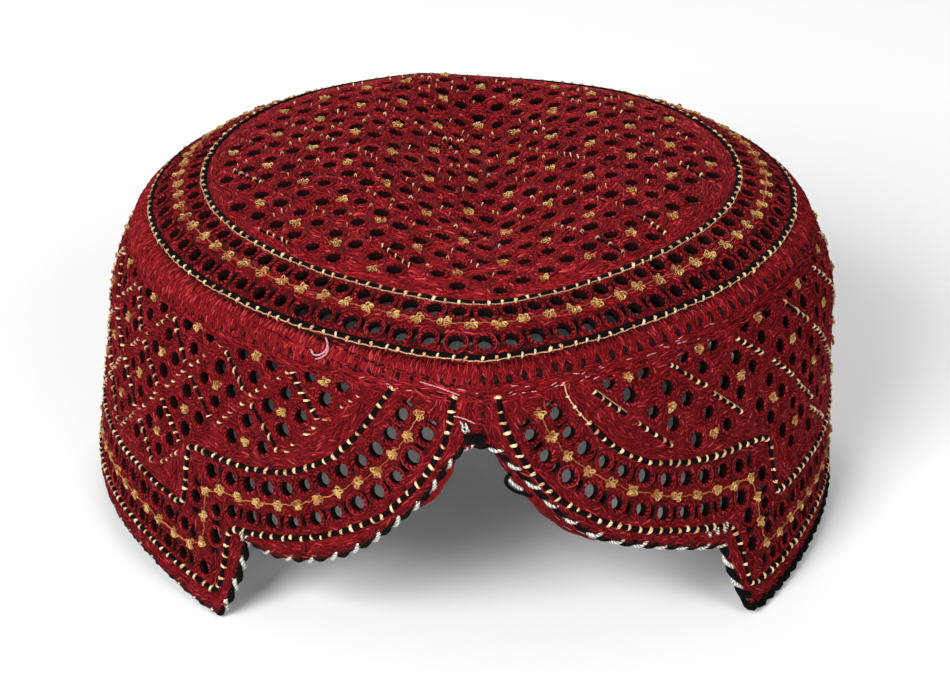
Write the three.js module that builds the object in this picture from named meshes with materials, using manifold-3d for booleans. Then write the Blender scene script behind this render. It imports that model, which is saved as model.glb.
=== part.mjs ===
// A Sindhi cap: a round crown and a deep side band of pierced, embroidered cloth, joined by a
// padded seam, with an arched opening over the forehead and a twisted cord round the whole edge.
// Millimetres, +Z up, the front of the cap towards -Y. It stands on its rim at z = 0.

import * as THREE from 'three';
import { mergeVertices } from 'three/addons/utils/BufferGeometryUtils.js';
import Module from 'manifold-3d';

const wasm = await Module();
wasm.setup();

// Plan of the crown where it turns down, measured from the crown's own middle
const crownLeft = 80.5;
const crownRight = 83.4;
const crownFront = 87.2;
const crownBack = 91.3;
const crownFrontLean = -1.3;
const crownBackLean = -9.4;
const crownFrontPointedness = 1.41;
const crownBackPointednessLeft = 1.56;
const crownBackPointednessRight = 1.2;

// Plan of the rim, measured from the same middle
const rimLeft = 86.1;
const rimRight = 83.9;
const rimFront = 103.9;
const rimBack = 90.0;
const rimFrontLean = 6.0;
const rimBackLean = -6.0;
const rimPointedness = 1.23;

// Heights, and the profile from the middle of the crown down to the top of the straight side
const capHeight = 76.4;
const domeDrop = 6.4;
const shoulderDrop = 23.4;
const shoulderTightness = 10;
const backShoulderTightness = 4;
const backShoulderOnset = 2.2;
const shoulderRoundness = 0.79;
const sideRiseLeft = 2.6;
const sideRiseRight = 1.7;
const riseFrom = 0.74;
const riseTo = 0.92;

// The fold along which the cap is put away flat presses a valley into the crown
const valleyDepth = 7.5;
const valleyHalfWidthLeft = 28.6;
const valleyHalfWidthRight = 33.2;
const valleyCentre = 4.4;
const valleyFrontEnd = 74.0;
const valleyFrontRun = 62.0;
const valleyBackEnd = 60.5;
const valleyBackRun = 31.7;
const creaseDepth = 1.6;
const creaseHalfWidth = 8.0;

// Cloth, joints and cord
const clothThickness = 2.2;
const seamWidth = 6.0;
const seamBelowRings = 1.4;
const seamPadding = 0.7;
const seamClearance = 0.5;
const cordClearance = 0.35;
const cordRadius = 1.2;

// The arched opening at the front, as lengths along the band from its middle and heights on it
const openingLeft = 60.5;
const openingRight = 54.5;
const notchHalfWidth = 3.2;
const notchCentre = -1.2;
const notchBelowSeam = 10.7;
const lobeHeightLeft = 18.2;
const lobeHeightRight = 16.4;
const tipReachLeft = 6.6;
const tipReachRight = 5.4;

// Each lobe's edge from the notch to its foot, as shares of its length and of its fall
const lobeEdgeLeft = [
  { out: 0, up: 1 }, { out: 0.06, up: 0.92 }, { out: 0.14, up: 0.75 }, { out: 0.22, up: 0.6 },
  { out: 0.3, up: 0.48 }, { out: 0.42, up: 0.3 }, { out: 0.55, up: 0.155 }, { out: 0.7, up: 0.05 },
  { out: 0.82, up: 0.005 }, { out: 0.9, up: 0 }, { out: 1, up: 0.03 },
];
const lobeEdgeRight = [
  { out: 0, up: 1 }, { out: 0.06, up: 0.94 }, { out: 0.13, up: 0.82 }, { out: 0.22, up: 0.62 },
  { out: 0.3, up: 0.47 }, { out: 0.39, up: 0.355 }, { out: 0.5, up: 0.27 }, { out: 0.62, up: 0.2 },
  { out: 0.78, up: 0.11 }, { out: 0.9, up: 0.045 }, { out: 1, up: 0 },
];

// The padded seam's face, as shares of its width and of its padding
const seamSection = [
  { at: 0, swell: 0 }, { at: 0.14, swell: 0.6 }, { at: 0.36, swell: 1 }, { at: 0.64, swell: 1 },
  { at: 0.86, swell: 0.6 }, { at: 1, swell: 0 },
];

// Pierced eyelets
const eyeletDiameter = 2.7;
const eyeletSides = 6;
const outerRingShare = 0.88;
const innerRingShare = 0.73;
const crownRowEyelets = 28;
const fieldPitchX = 27.1;
const fieldPitchY = 18.1;
const fieldMargin = 7.0;
const bandTopMargin = 5.0;
const bandPitch = 20.4;
const edgeRowDistance = 11.0;
const edgeRowPitch = 5.6;
const edgeRowStart = 14.0;

// How finely the cloth and the cord are divided, and how far apart two points are for a slope
const planDivisions = 44;
const bandDivisions = 66;
const bandRows = 4;
const legStep = 0.8;
const cordDivisions = 106;
const lobeSteps = 18;
const legSteps = 4;
const legBend = 1.5;
const cordSides = 8;
const profileSteps = 400;
const profileCrowding = 1.8;
const tableSteps = 1440;
const slopeAngle = 0.02;
const slopeReach = 2;
const halvings = 40;
const weldDistance = 1e-4;
const crownRings = [0.18, 0.36, 0.52, 0.66, 0.78, 0.88, 0.95, 1];

const crownPlan = {
  left: crownLeft, right: crownRight, front: crownFront, back: crownBack,
  frontLean: crownFrontLean, backLean: crownBackLean,
  frontPoint: crownFrontPointedness,
  backPointLeft: crownBackPointednessLeft, backPointRight: crownBackPointednessRight,
};
const rimPlan = {
  left: rimLeft, right: rimRight, front: rimFront, back: rimBack,
  frontLean: rimFrontLean, backLean: rimBackLean,
  frontPoint: rimPointedness, backPointLeft: rimPointedness, backPointRight: rimPointedness,
};
const sideHeight = capHeight - domeDrop - shoulderDrop;
const meanRadius = (crownLeft + crownRight + crownFront + crownBack) / 4;
const cordCorner = cordRadius / Math.cos(Math.PI / cordSides);
const cordReach = cordCorner + cordClearance;
const lobes = [
  { sign: 1, foot: openingRight, height: lobeHeightRight, tip: tipReachRight, edge: lobeEdgeRight },
  { sign: -1, foot: openingLeft, height: lobeHeightLeft, tip: tipReachLeft, edge: lobeEdgeLeft },
];

function smooth(share) {
  const k = THREE.MathUtils.clamp(share, 0, 1);
  return k * k * (3 - 2 * k);
}

// Straight-line reading of one column of a table that is sorted by another column
function lookUp(table, from, to, value) {
  const last = table.length - 1;
  if (value <= table[0][from]) return table[0][to];
  if (value >= table[last][from]) return table[last][to];
  let low = 0;
  let high = last;
  while (high - low > 1) {
    const middle = (low + high) >> 1;
    if (table[middle][from] <= value) low = middle;
    else high = middle;
  }
  const share = (value - table[low][from]) / (table[high][from] - table[low][from]);
  return THREE.MathUtils.lerp(table[low][to], table[high][to], share);
}

// A plan outline at an angle: the angle is 0 at the right, and -90 degrees at the front
function planPoint(plan, angle) {
  const across = Math.cos(angle);
  const along = Math.sin(angle);
  const halfWidth = across < 0 ? plan.left : plan.right;
  const lean = along < 0 ? plan.frontLean : plan.backLean;
  const backPoint = across < 0 ? plan.backPointLeft : plan.backPointRight;
  const point = along < 0 ? plan.frontPoint : backPoint;
  return {
    x: Math.sign(across) * Math.abs(across) ** point * halfWidth + lean * along * along,
    y: along * (along < 0 ? plan.front : plan.back),
  };
}

// The shoulder is rounder towards the back, by how far back a direction from the middle points
function tightnessTowards(x, y) {
  const backness = Math.max(0, y / Math.hypot(x, y));
  return THREE.MathUtils.lerp(shoulderTightness, backShoulderTightness, backness ** backShoulderOnset);
}

// Height of the crown at a share of the way from its middle to where it turns down
function crownHeightAt(share, tightness) {
  const k = Math.min(share, 1);
  const turn = 1 - (1 - k ** tightness) ** shoulderRoundness;
  return capHeight - domeDrop * k * k - shoulderDrop * turn;
}

function valley(x, y) {
  const away = Math.abs(x - valleyCentre);
  const halfWidth = x < valleyCentre ? valleyHalfWidthLeft : valleyHalfWidthRight;
  const along = smooth((y + valleyFrontEnd) / valleyFrontRun) * smooth((valleyBackEnd - y) / valleyBackRun);
  const trough = valleyDepth * (1 - smooth(away / halfWidth));
  const crease = creaseDepth * Math.max(0, 1 - away / creaseHalfWidth);
  return along * (trough + crease);
}

// The crown's profile as a table: share of the plan, height, and height measured along the cloth
const profile = [];
{
  for (let i = 0; i <= profileSteps; i++) {
    const share = 1 - (i / profileSteps) ** profileCrowding;
    const height = crownHeightAt(share, shoulderTightness);
    const before = profile[i - 1];
    const step = before ? Math.hypot((before.share - share) * meanRadius, height - before.height) : 0;
    profile.push({ share, height, along: before ? before.along + step : sideHeight });
  }
}
const crownMiddleAlong = profile[profile.length - 1].along;
const profileFromMiddle = profile.slice().reverse();

function alongAtShare(share) {
  return lookUp(profileFromMiddle, 'share', 'along', share);
}

// The crown's outer ring of couching ends the crown, and the padded seam starts below it
const crownEdge = alongAtShare(outerRingShare) - seamBelowRings;
const seamTop = crownEdge - seamClearance;
const seamFoot = seamTop - seamWidth;
const bandTop = seamFoot - seamClearance;

// How far the rim lifts off the table, on the cheeks of the cap only
function sideRise(angle) {
  const across = Math.cos(angle);
  const rise = across < 0 ? sideRiseLeft : sideRiseRight;
  return rise * smooth((Math.abs(across) - riseFrom) / (riseTo - riseFrom));
}

// The outer face of the cap at an angle and at a height measured along the cloth
function faceAt(angle, along) {
  const crown = planPoint(crownPlan, angle);
  if (along >= sideHeight) {
    const share = lookUp(profile, 'along', 'share', along);
    const x = crown.x * share;
    const y = crown.y * share;
    const height = crownHeightAt(share, tightnessTowards(crown.x, crown.y));
    return new THREE.Vector3(x, y, height - valley(x, y));
  }
  const rim = planPoint(rimPlan, angle);
  const down = 1 - along / sideHeight;
  const x = THREE.MathUtils.lerp(crown.x, rim.x, down);
  const y = THREE.MathUtils.lerp(crown.y, rim.y, down);
  return new THREE.Vector3(x, y, along + sideRise(angle) * down);
}

function normalAt(angle, along) {
  const rise = Math.min(slopeReach, crownMiddleAlong - along);
  const sideways = faceAt(angle + slopeAngle, along).sub(faceAt(angle - slopeAngle, along));
  const upwards = faceAt(angle, along + rise).sub(faceAt(angle, along - slopeReach));
  return sideways.cross(upwards).normalize();
}

// A point sunk below the outer face by a depth through the cloth
function clothPoint(angle, along, depth) {
  return faceAt(angle, along).addScaledVector(normalAt(angle, along), -depth);
}

// The notch reaches up to just under the seam
const notchHeight = bandTop - notchBelowSeam;

// Lengths round the band, measured at half its height from the middle of the front
const bandTable = [];
{
  let length = 0;
  for (let i = 0; i <= tableSteps; i++) {
    const angle = -Math.PI / 2 + (i / tableSteps) * 2 * Math.PI;
    const point = faceAt(angle, sideHeight / 2);
    if (i > 0) length += Math.hypot(point.x - bandTable[i - 1].x, point.y - bandTable[i - 1].y);
    bandTable.push({ angle, length, x: point.x, y: point.y });
  }
}
const bandLength = bandTable[bandTable.length - 1].length;

function angleAt(length) {
  const positive = ((length % bandLength) + bandLength) % bandLength;
  return lookUp(bandTable, 'length', 'angle', positive);
}

// The middle of the edging cord as lengths round the band and heights on it
function cordRoute() {
  const route = [];
  const add = (length, height) => route.push({ length, height });
  const halves = lobes.map(({ sign, foot, height, tip, edge }) => {
    const points = [];
    const start = notchCentre + sign * notchHalfWidth;
    const end = sign * foot;
    for (let i = 0; i <= lobeSteps; i++) {
      const share = i / lobeSteps;
      const up = lookUp(edge, 'out', 'up', share);
      points.push({
        length: THREE.MathUtils.lerp(start, end, share),
        height: cordRadius + height + (notchHeight - height) * up,
      });
    }
    for (let i = 1; i <= legSteps; i++) {
      const share = i / legSteps;
      points.push({
        length: end + sign * tip * share ** legBend,
        height: cordRadius + height * (1 - share),
      });
    }
    return points;
  });
  const [right, left] = halves;
  const rightTip = right[right.length - 1].length;
  const leftTip = left[left.length - 1].length;
  const flatSteps = cordDivisions - right.length - left.length - 1;
  for (const point of left.slice().reverse()) add(point.length, point.height);
  for (const point of right) add(point.length, point.height);
  for (let i = 1; i <= flatSteps; i++) {
    const share = i / (flatSteps + 1);
    add(THREE.MathUtils.lerp(rightTip, leftTip + bandLength, share), cordRadius);
  }
  return route;
}

const route = cordRoute();

function wrap(length) {
  return length - bandLength * Math.round(length / bandLength);
}

// The middle of the cord in space, level with the middle of the cloth
function cordMiddle(length, height) {
  const angle = angleAt(length);
  const outward = normalAt(angle, height).setZ(0).normalize();
  const point = faceAt(angle, height).addScaledVector(outward, -clothThickness / 2);
  return { point, outward };
}

const cordMiddles = route.map(({ length, height }) => cordMiddle(length, height));
const cordSpans = cordMiddles.map(({ point }, i) => (
  new THREE.Line3(point, cordMiddles[(i + 1) % cordMiddles.length].point)
));

function distanceToCord(point) {
  const nearest = new THREE.Vector3();
  let distance = Infinity;
  for (const span of cordSpans) {
    span.closestPointToPoint(point, true, nearest);
    distance = Math.min(distance, nearest.distanceTo(point));
  }
  return distance;
}

// Height of the cloth's own edge: the cord lies against it all the way round
function clothEdge(length) {
  const angle = angleAt(length);
  const isClear = (height) => distanceToCord(clothPoint(angle, height, clothThickness / 2)) > cordReach;
  let clear = bandTop;
  while (clear > 0 && isClear(clear - cordRadius)) clear -= cordRadius;
  let met = clear - cordRadius;
  for (let i = 0; i < halvings; i++) {
    const middle = (clear + met) / 2;
    if (isClear(middle)) clear = middle;
    else met = middle;
  }
  return clear;
}

// A closed solid from rings of points: a ring joins the next, and the last may join the first
function solidFromRings(rings, closed) {
  const size = rings[0].length;
  const positions = rings.flat().flatMap((point) => [point.x, point.y, point.z]);
  const indices = [];
  const spans = closed ? rings.length : rings.length - 1;
  for (let i = 0; i < spans; i++) {
    const next = (i + 1) % rings.length;
    for (let j = 0; j < size; j++) {
      const a = i * size + j;
      const b = i * size + ((j + 1) % size);
      const c = next * size + j;
      const d = next * size + ((j + 1) % size);
      indices.push(a, b, d, a, d, c);
    }
  }
  const geometry = new THREE.BufferGeometry();
  geometry.setAttribute('position', new THREE.Float32BufferAttribute(positions, 3));
  geometry.setIndex(indices);
  return geometry;
}

function toManifold(geometry) {
  const bare = geometry.clone();
  bare.deleteAttribute('normal');
  bare.deleteAttribute('uv');
  const merged = mergeVertices(bare, weldDistance);
  return new wasm.Manifold(new wasm.Mesh({
    numProp: 3,
    vertProperties: new Float32Array(merged.getAttribute('position').array),
    triVerts: new Uint32Array(merged.getIndex().array),
  }));
}

function toGeometry(solid) {
  const mesh = solid.getMesh();
  const geometry = new THREE.BufferGeometry();
  geometry.setAttribute('position', new THREE.BufferAttribute(mesh.vertProperties, 3));
  geometry.setIndex(new THREE.BufferAttribute(mesh.triVerts, 1));
  return geometry;
}

// The punch for one eyelet, square to the cloth and longer than the cloth is thick
function eyeletPunch(point, normal) {
  const radius = eyeletDiameter / 2;
  const length = 3 * clothThickness;
  const punch = new THREE.CylinderGeometry(radius, radius, length, eyeletSides);
  punch.applyQuaternion(new THREE.Quaternion().setFromUnitVectors(new THREE.Vector3(0, 1, 0), normal));
  const middle = point.clone().addScaledVector(normal, -clothThickness / 2);
  punch.translate(middle.x, middle.y, middle.z);
  return toManifold(punch);
}

function pierce(geometry, places) {
  const punches = places.map(({ angle, along }) => (
    eyeletPunch(faceAt(angle, along), normalAt(angle, along))
  ));
  let solid = toManifold(geometry);
  for (const punch of punches) solid = solid.subtract(punch);
  return toGeometry(solid);
}

// The angle and the height along the cloth of a point of the crown that is seen from above
function crownPlace(x, y) {
  const angle = angleOfDirection(Math.atan2(y, x));
  const edge = planPoint(crownPlan, angle);
  const share = Math.hypot(x, y) / Math.hypot(edge.x, edge.y);
  return { angle, share, along: alongAtShare(share) };
}

// The plan's angle at which its outline lies in a compass direction
function angleOfDirection(direction) {
  let low = direction - Math.PI / 5;
  let high = direction + Math.PI / 5;
  for (let i = 0; i < halvings; i++) {
    const middle = (low + high) / 2;
    const point = planPoint(crownPlan, middle);
    const turn = Math.atan2(point.y, point.x) - direction;
    if (Math.sin(turn) < 0) low = middle;
    else high = middle;
  }
  return (low + high) / 2;
}

function crownEyelets() {
  const places = [];
  const rowShare = (outerRingShare + innerRingShare) / 2 + (outerRingShare - innerRingShare) / 4;
  for (let i = 0; i < crownRowEyelets; i++) {
    const angle = ((i + 0.5) / crownRowEyelets) * 2 * Math.PI;
    places.push({ angle, along: alongAtShare(rowShare) });
  }
  const reach = Math.ceil(meanRadius / fieldPitchX) * 2;
  for (let column = -reach; column <= reach; column++) {
    for (let row = -reach; row <= reach; row++) {
      const x = valleyCentre + (column * fieldPitchX) / 2;
      const y = (row + (column % 2 === 0 ? 0 : 0.5)) * fieldPitchY;
      const place = crownPlace(x, y);
      const room = (innerRingShare - place.share) * meanRadius;
      if (room > fieldMargin && Math.hypot(x, y) > fieldPitchX / 4) places.push(place);
    }
  }
  return places;
}

function crownGeometry() {
  const ringAt = (share, depth) => {
    const along = THREE.MathUtils.lerp(crownMiddleAlong, crownEdge, share);
    const ring = [];
    for (let i = 0; i < planDivisions; i++) {
      ring.push(clothPoint((i / planDivisions) * 2 * Math.PI, along, depth));
    }
    return ring;
  };
  const top = crownRings.map((share) => ringAt(share, 0));
  const bottom = crownRings.map((share) => ringAt(share, clothThickness)).reverse();
  const middleHeight = capHeight - valley(0, 0);
  const meetAt = (height) => Array(planDivisions).fill(new THREE.Vector3(0, 0, height));
  const rings = [meetAt(middleHeight), ...top, ...bottom, meetAt(middleHeight - clothThickness)];
  return mergeVertices(solidFromRings(rings.map((ring) => ring.slice().reverse()), false), weldDistance);
}

function seamGeometry() {
  const rings = [];
  for (let i = 0; i < planDivisions; i++) {
    const angle = (i / planDivisions) * 2 * Math.PI;
    const face = seamSection.map(({ at, swell }) => (
      clothPoint(angle, THREE.MathUtils.lerp(seamTop, seamFoot, at), -swell * seamPadding)
    ));
    const back = [1, 0.5, 0].map((at) => (
      clothPoint(angle, THREE.MathUtils.lerp(seamTop, seamFoot, at), clothThickness)
    ));
    rings.push([...face, ...back]);
  }
  return solidFromRings(rings, true);
}

// Lengths at which the band is divided: the cord's own corners and even steps between them
function bandColumns() {
  const columns = [];
  const legs = lobes.map(({ sign, foot, tip }) => (
    { sign, from: foot - cordReach, to: foot + tip + cordReach + cordClearance }
  ));
  for (const { sign, from, to } of legs) {
    for (let away = from; away < to; away += legStep) columns.push(sign * away);
  }
  const isInLeg = (length) => legs.some(({ sign, from, to }) => (
    sign * length > from - legStep / 2 && sign * length < to + legStep / 2
  ));
  const opening = route.filter(({ height }) => height > cordReach).map(({ length }) => length);
  for (const side of [-1, 1]) {
    const corner = notchCentre + side * notchHalfWidth;
    opening.push(corner - cordReach / 2, corner + cordReach / 2);
  }
  columns.push(...opening.filter((length) => !isInLeg(length)));
  for (let i = 0; i < bandDivisions; i++) {
    const length = wrap((i / bandDivisions) * bandLength);
    const isBeyondTips = legs.some(({ sign, to }) => sign * length > to);
    if (isBeyondTips && !isInLeg(length)) columns.push(length);
  }
  return columns.sort((a, b) => a - b);
}

function bandGeometry() {
  const rings = bandColumns().map((length) => {
    const angle = angleAt(length);
    const edge = clothEdge(length);
    const column = (depth) => {
      const points = [];
      for (let i = 0; i <= bandRows; i++) {
        points.push(clothPoint(angle, THREE.MathUtils.lerp(bandTop, edge, i / bandRows), depth));
      }
      return points;
    };
    return [...column(0), ...column(clothThickness).reverse()];
  });
  return solidFromRings(rings, true);
}

function bandEyelets() {
  const places = [];
  const put = (length, along) => places.push({ angle: angleAt(length), along });
  const top = bandTop - bandTopMargin;
  const half = Math.floor(bandLength / bandPitch / 2);
  for (let column = -half; column < half; column++) {
    const length = (column + 0.5) * bandPitch;
    if (top - clothEdge(length) > edgeRowDistance + edgeRowPitch) put(length, top);
  }
  for (const { sign, foot, tip } of lobes) {
    for (let length = edgeRowStart; length < foot + tip; length += edgeRowPitch) {
      const level = clothEdge(sign * Math.min(length, foot - edgeRowPitch / 2));
      put(sign * length, level + edgeRowDistance);
    }
  }
  return places;
}

// The cord along the edge, as a tube with flat facets above and below, level where it stands
function cordGeometry() {
  const rings = cordMiddles.map(({ point, outward }, i) => {
    const before = cordMiddles[(i + cordMiddles.length - 1) % cordMiddles.length].point;
    const after = cordMiddles[(i + 1) % cordMiddles.length].point;
    const ahead = after.clone().sub(before).normalize();
    const up = outward.clone().cross(ahead).normalize();
    const out = ahead.clone().cross(up).normalize();
    const ring = [];
    for (let k = 0; k < cordSides; k++) {
      const turn = ((k + 0.5) / cordSides) * 2 * Math.PI;
      ring.push(point.clone()
        .addScaledVector(out, cordCorner * Math.cos(turn))
        .addScaledVector(up, -cordCorner * Math.sin(turn)));
    }
    return ring;
  });
  return solidFromRings(rings, true);
}

function material(color, roughness, metalness = 0) {
  return new THREE.MeshStandardMaterial({ color, roughness, metalness });
}

function piece(name, geometry, finish) {
  const mesh = new THREE.Mesh(geometry, finish);
  mesh.name = name;
  return mesh;
}

const clothRed = material(0x8c1523, 0.9);
const seamRed = material(0x9e1a2a, 0.85);
const cordBlack = material(0x1a1614, 0.6);

const wholeCap = new THREE.Group();
wholeCap.add(piece('crown', pierce(crownGeometry(), crownEyelets()), clothRed));
wholeCap.add(piece('seam_roll', seamGeometry(), seamRed));
wholeCap.add(piece('side_band', pierce(bandGeometry(), bandEyelets()), clothRed.clone()));
wholeCap.add(piece('edge_cord', cordGeometry(), cordBlack));

// The origin is under the middle of the whole cap
const bounds = new THREE.Box3().setFromObject(wholeCap, true);
const boxCentre = bounds.getCenter(new THREE.Vector3());
wholeCap.position.set(-boxCentre.x, -boxCentre.y, -bounds.min.z);

export default wholeCap;
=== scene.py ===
# A sindhi cap dressed in its embroidery: pierced red cloth, raised buttonhole rings, gold knots,
# black couching barred with gold, a satin-stitched seam and a twisted cord round the whole edge.
# Lengths are millimetres until a mesh is made. A place on the crown is (x, y) seen from above,
# and a place on the band is (length round the band from the front middle, height on the cloth).

import math

import bpy
import numpy as np
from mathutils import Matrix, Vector
from mathutils.geometry import delaunay_2d_cdt


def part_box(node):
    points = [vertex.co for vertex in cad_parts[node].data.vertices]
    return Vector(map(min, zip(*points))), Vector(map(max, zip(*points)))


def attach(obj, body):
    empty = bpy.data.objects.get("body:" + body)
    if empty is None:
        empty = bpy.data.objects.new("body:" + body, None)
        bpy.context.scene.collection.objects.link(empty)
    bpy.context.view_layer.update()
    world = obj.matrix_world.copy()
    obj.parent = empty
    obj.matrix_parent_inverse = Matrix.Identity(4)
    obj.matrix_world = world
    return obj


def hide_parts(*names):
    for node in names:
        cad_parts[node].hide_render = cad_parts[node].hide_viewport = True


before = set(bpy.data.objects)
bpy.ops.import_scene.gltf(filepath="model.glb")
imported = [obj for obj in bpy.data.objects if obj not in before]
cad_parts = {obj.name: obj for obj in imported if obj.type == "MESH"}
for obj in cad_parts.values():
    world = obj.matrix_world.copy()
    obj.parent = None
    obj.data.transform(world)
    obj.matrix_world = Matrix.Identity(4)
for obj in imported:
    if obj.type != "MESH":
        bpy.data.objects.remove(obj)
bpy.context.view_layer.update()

rng = np.random.default_rng(7)
MM = 0.001
TAU = 2 * math.pi

# The cap's own shape, as the CAD source has it
CROWN = dict(left=80.5, right=83.4, front=87.2, back=91.3, front_lean=-1.3, back_lean=-9.4,
             front_point=1.41, back_point_left=1.56, back_point_right=1.2)
RIM = dict(left=86.1, right=83.9, front=103.9, back=90.0, front_lean=6.0, back_lean=-6.0,
           front_point=1.23, back_point_left=1.23, back_point_right=1.23)
CAP_HEIGHT = 76.4
DOME_DROP = 6.4
SHOULDER_DROP = 23.4
SHOULDER_TIGHTNESS = 10
BACK_SHOULDER_TIGHTNESS = 4
BACK_SHOULDER_ONSET = 2.2
SHOULDER_ROUNDNESS = 0.79
SIDE_RISE_LEFT = 2.6
SIDE_RISE_RIGHT = 1.7
RISE_FROM = 0.74
RISE_TO = 0.92
VALLEY_DEPTH = 7.5
VALLEY_LEFT = 28.6
VALLEY_RIGHT = 33.2
VALLEY_CENTRE = 4.4
VALLEY_FRONT_END = 74.0
VALLEY_FRONT_RUN = 62.0
VALLEY_BACK_END = 60.5
VALLEY_BACK_RUN = 31.7
CREASE_DEPTH = 1.6
CREASE_HALF_WIDTH = 8.0
CLOTH = 2.2
SEAM_WIDTH = 6.0
SEAM_BELOW_RINGS = 1.4
SEAM_CLEARANCE = 0.5
CORD_RADIUS = 1.2
OUTER_RING = 0.88
INNER_RING = 0.73
OPENING_LEFT = 60.5
OPENING_RIGHT = 54.5
NOTCH_HALF_WIDTH = 3.2
NOTCH_CENTRE = -1.2
NOTCH_BELOW_SEAM = 10.7
LOBES = (
    dict(sign=1, foot=OPENING_RIGHT, height=16.4, tip=5.4,
         out=(0, .06, .13, .22, .3, .39, .5, .62, .78, .9, 1),
         up=(1, .94, .82, .62, .47, .355, .27, .2, .11, .045, 0)),
    dict(sign=-1, foot=OPENING_LEFT, height=18.2, tip=6.6,
         out=(0, .06, .14, .22, .3, .42, .55, .7, .82, .9, 1),
         up=(1, .92, .75, .6, .48, .3, .155, .05, .005, 0, .03)),
)
SIDE_HEIGHT = CAP_HEIGHT - DOME_DROP - SHOULDER_DROP
MEAN_RADIUS = (CROWN["left"] + CROWN["right"] + CROWN["front"] + CROWN["back"]) / 4


def smooth(share):
    k = np.clip(share, 0, 1)
    return k * k * (3 - 2 * k)


def run_lengths(points):
    """Length from the first of some points to each of them."""
    return np.concatenate([[0], np.cumsum(np.linalg.norm(np.diff(points, axis=0), axis=-1))])


def taken_at(at, lengths, points):
    return np.stack([np.interp(at, lengths, column) for column in points.T], -1)


def plan_point(plan, angle):
    across, along = np.cos(angle), np.sin(angle)
    is_front = along < 0
    half_width = np.where(across < 0, plan["left"], plan["right"])
    lean = np.where(is_front, plan["front_lean"], plan["back_lean"])
    back_point = np.where(across < 0, plan["back_point_left"], plan["back_point_right"])
    point = np.where(is_front, plan["front_point"], back_point)
    x = np.sign(across) * np.abs(across) ** point * half_width + lean * along * along
    return x, along * np.where(is_front, plan["front"], plan["back"])


def crown_height(share, x=0.0, y=-1.0):
    """Height of the crown at a share of the way out in the direction of x and y."""
    k = np.minimum(share, 1)
    backness = np.maximum(0, y / np.maximum(np.hypot(x, y), 1e-9))
    change = BACK_SHOULDER_TIGHTNESS - SHOULDER_TIGHTNESS
    tightness = SHOULDER_TIGHTNESS + change * backness ** BACK_SHOULDER_ONSET
    turn = 1 - (1 - k ** tightness) ** SHOULDER_ROUNDNESS
    return CAP_HEIGHT - DOME_DROP * k * k - SHOULDER_DROP * turn


def valley(x, y):
    away = np.abs(x - VALLEY_CENTRE)
    half_width = np.where(x < VALLEY_CENTRE, VALLEY_LEFT, VALLEY_RIGHT)
    from_front = smooth((y + VALLEY_FRONT_END) / VALLEY_FRONT_RUN)
    along = from_front * smooth((VALLEY_BACK_END - y) / VALLEY_BACK_RUN)
    trough = VALLEY_DEPTH * (1 - smooth(away / half_width))
    return along * (trough + CREASE_DEPTH * np.maximum(0, 1 - away / CREASE_HALF_WIDTH))


# The crown's profile, and the lengths round the band at half its height
PROFILE_SHARE = 1 - (np.arange(401) / 400) ** 1.8
PROFILE_HEIGHT = crown_height(PROFILE_SHARE)
PROFILE_ALONG = SIDE_HEIGHT + run_lengths(np.stack([PROFILE_SHARE * MEAN_RADIUS, PROFILE_HEIGHT], -1))
CROWN_MIDDLE = PROFILE_ALONG[-1]


def along_at(share):
    return np.interp(share, PROFILE_SHARE[::-1], PROFILE_ALONG[::-1])


CROWN_EDGE = along_at(OUTER_RING) - SEAM_BELOW_RINGS
SEAM_TOP = CROWN_EDGE - SEAM_CLEARANCE
SEAM_FOOT = SEAM_TOP - SEAM_WIDTH
BAND_TOP = SEAM_FOOT - SEAM_CLEARANCE
NOTCH_HEIGHT = BAND_TOP - NOTCH_BELOW_SEAM


def side_rise(angle):
    across = np.cos(angle)
    rise = np.where(across < 0, SIDE_RISE_LEFT, SIDE_RISE_RIGHT)
    return rise * smooth((np.abs(across) - RISE_FROM) / (RISE_TO - RISE_FROM))


def face(angle, along):
    """The outer face of the cap at an angle of its plan and a height measured along the cloth."""
    angle, along = np.broadcast_arrays(angle, along)
    crown_x, crown_y = plan_point(CROWN, angle)
    share = np.interp(along, PROFILE_ALONG, PROFILE_SHARE)
    x, y = crown_x * share, crown_y * share
    top = np.stack([x, y, crown_height(share, crown_x, crown_y) - valley(x, y)], -1)
    rim_x, rim_y = plan_point(RIM, angle)
    down = 1 - along / SIDE_HEIGHT
    side = np.stack([crown_x + (rim_x - crown_x) * down, crown_y + (rim_y - crown_y) * down,
                     along + side_rise(angle) * down], -1)
    return np.where((along >= SIDE_HEIGHT)[..., None], top, side)


def unit(vectors):
    return vectors / np.maximum(np.linalg.norm(vectors, axis=-1, keepdims=True), 1e-9)


def face_normal(angle, along):
    rise = np.minimum(2, CROWN_MIDDLE - along)
    sideways = face(angle + 0.02, along) - face(angle - 0.02, along)
    upwards = face(angle, along + rise) - face(angle, along - 2)
    return unit(np.cross(sideways, upwards))


BAND_ANGLES = -math.pi / 2 + np.arange(1441) / 1440 * TAU
band_loop = face(BAND_ANGLES, SIDE_HEIGHT / 2)
BAND_LENGTHS = run_lengths(band_loop[:, :2])
BAND_LENGTH = BAND_LENGTHS[-1]


def angle_at(length):
    return np.interp(np.mod(length, BAND_LENGTH), BAND_LENGTHS, BAND_ANGLES)


# The plan radius of the crown in every compass direction
plan_angles = np.linspace(-math.pi, math.pi, 2881)
plan_x, plan_y = plan_point(CROWN, plan_angles)
plan_order = np.argsort(np.arctan2(plan_y, plan_x))
PLAN_DIRECTIONS = np.arctan2(plan_y, plan_x)[plan_order]
PLAN_RADII = np.hypot(plan_x, plan_y)[plan_order]

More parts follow.
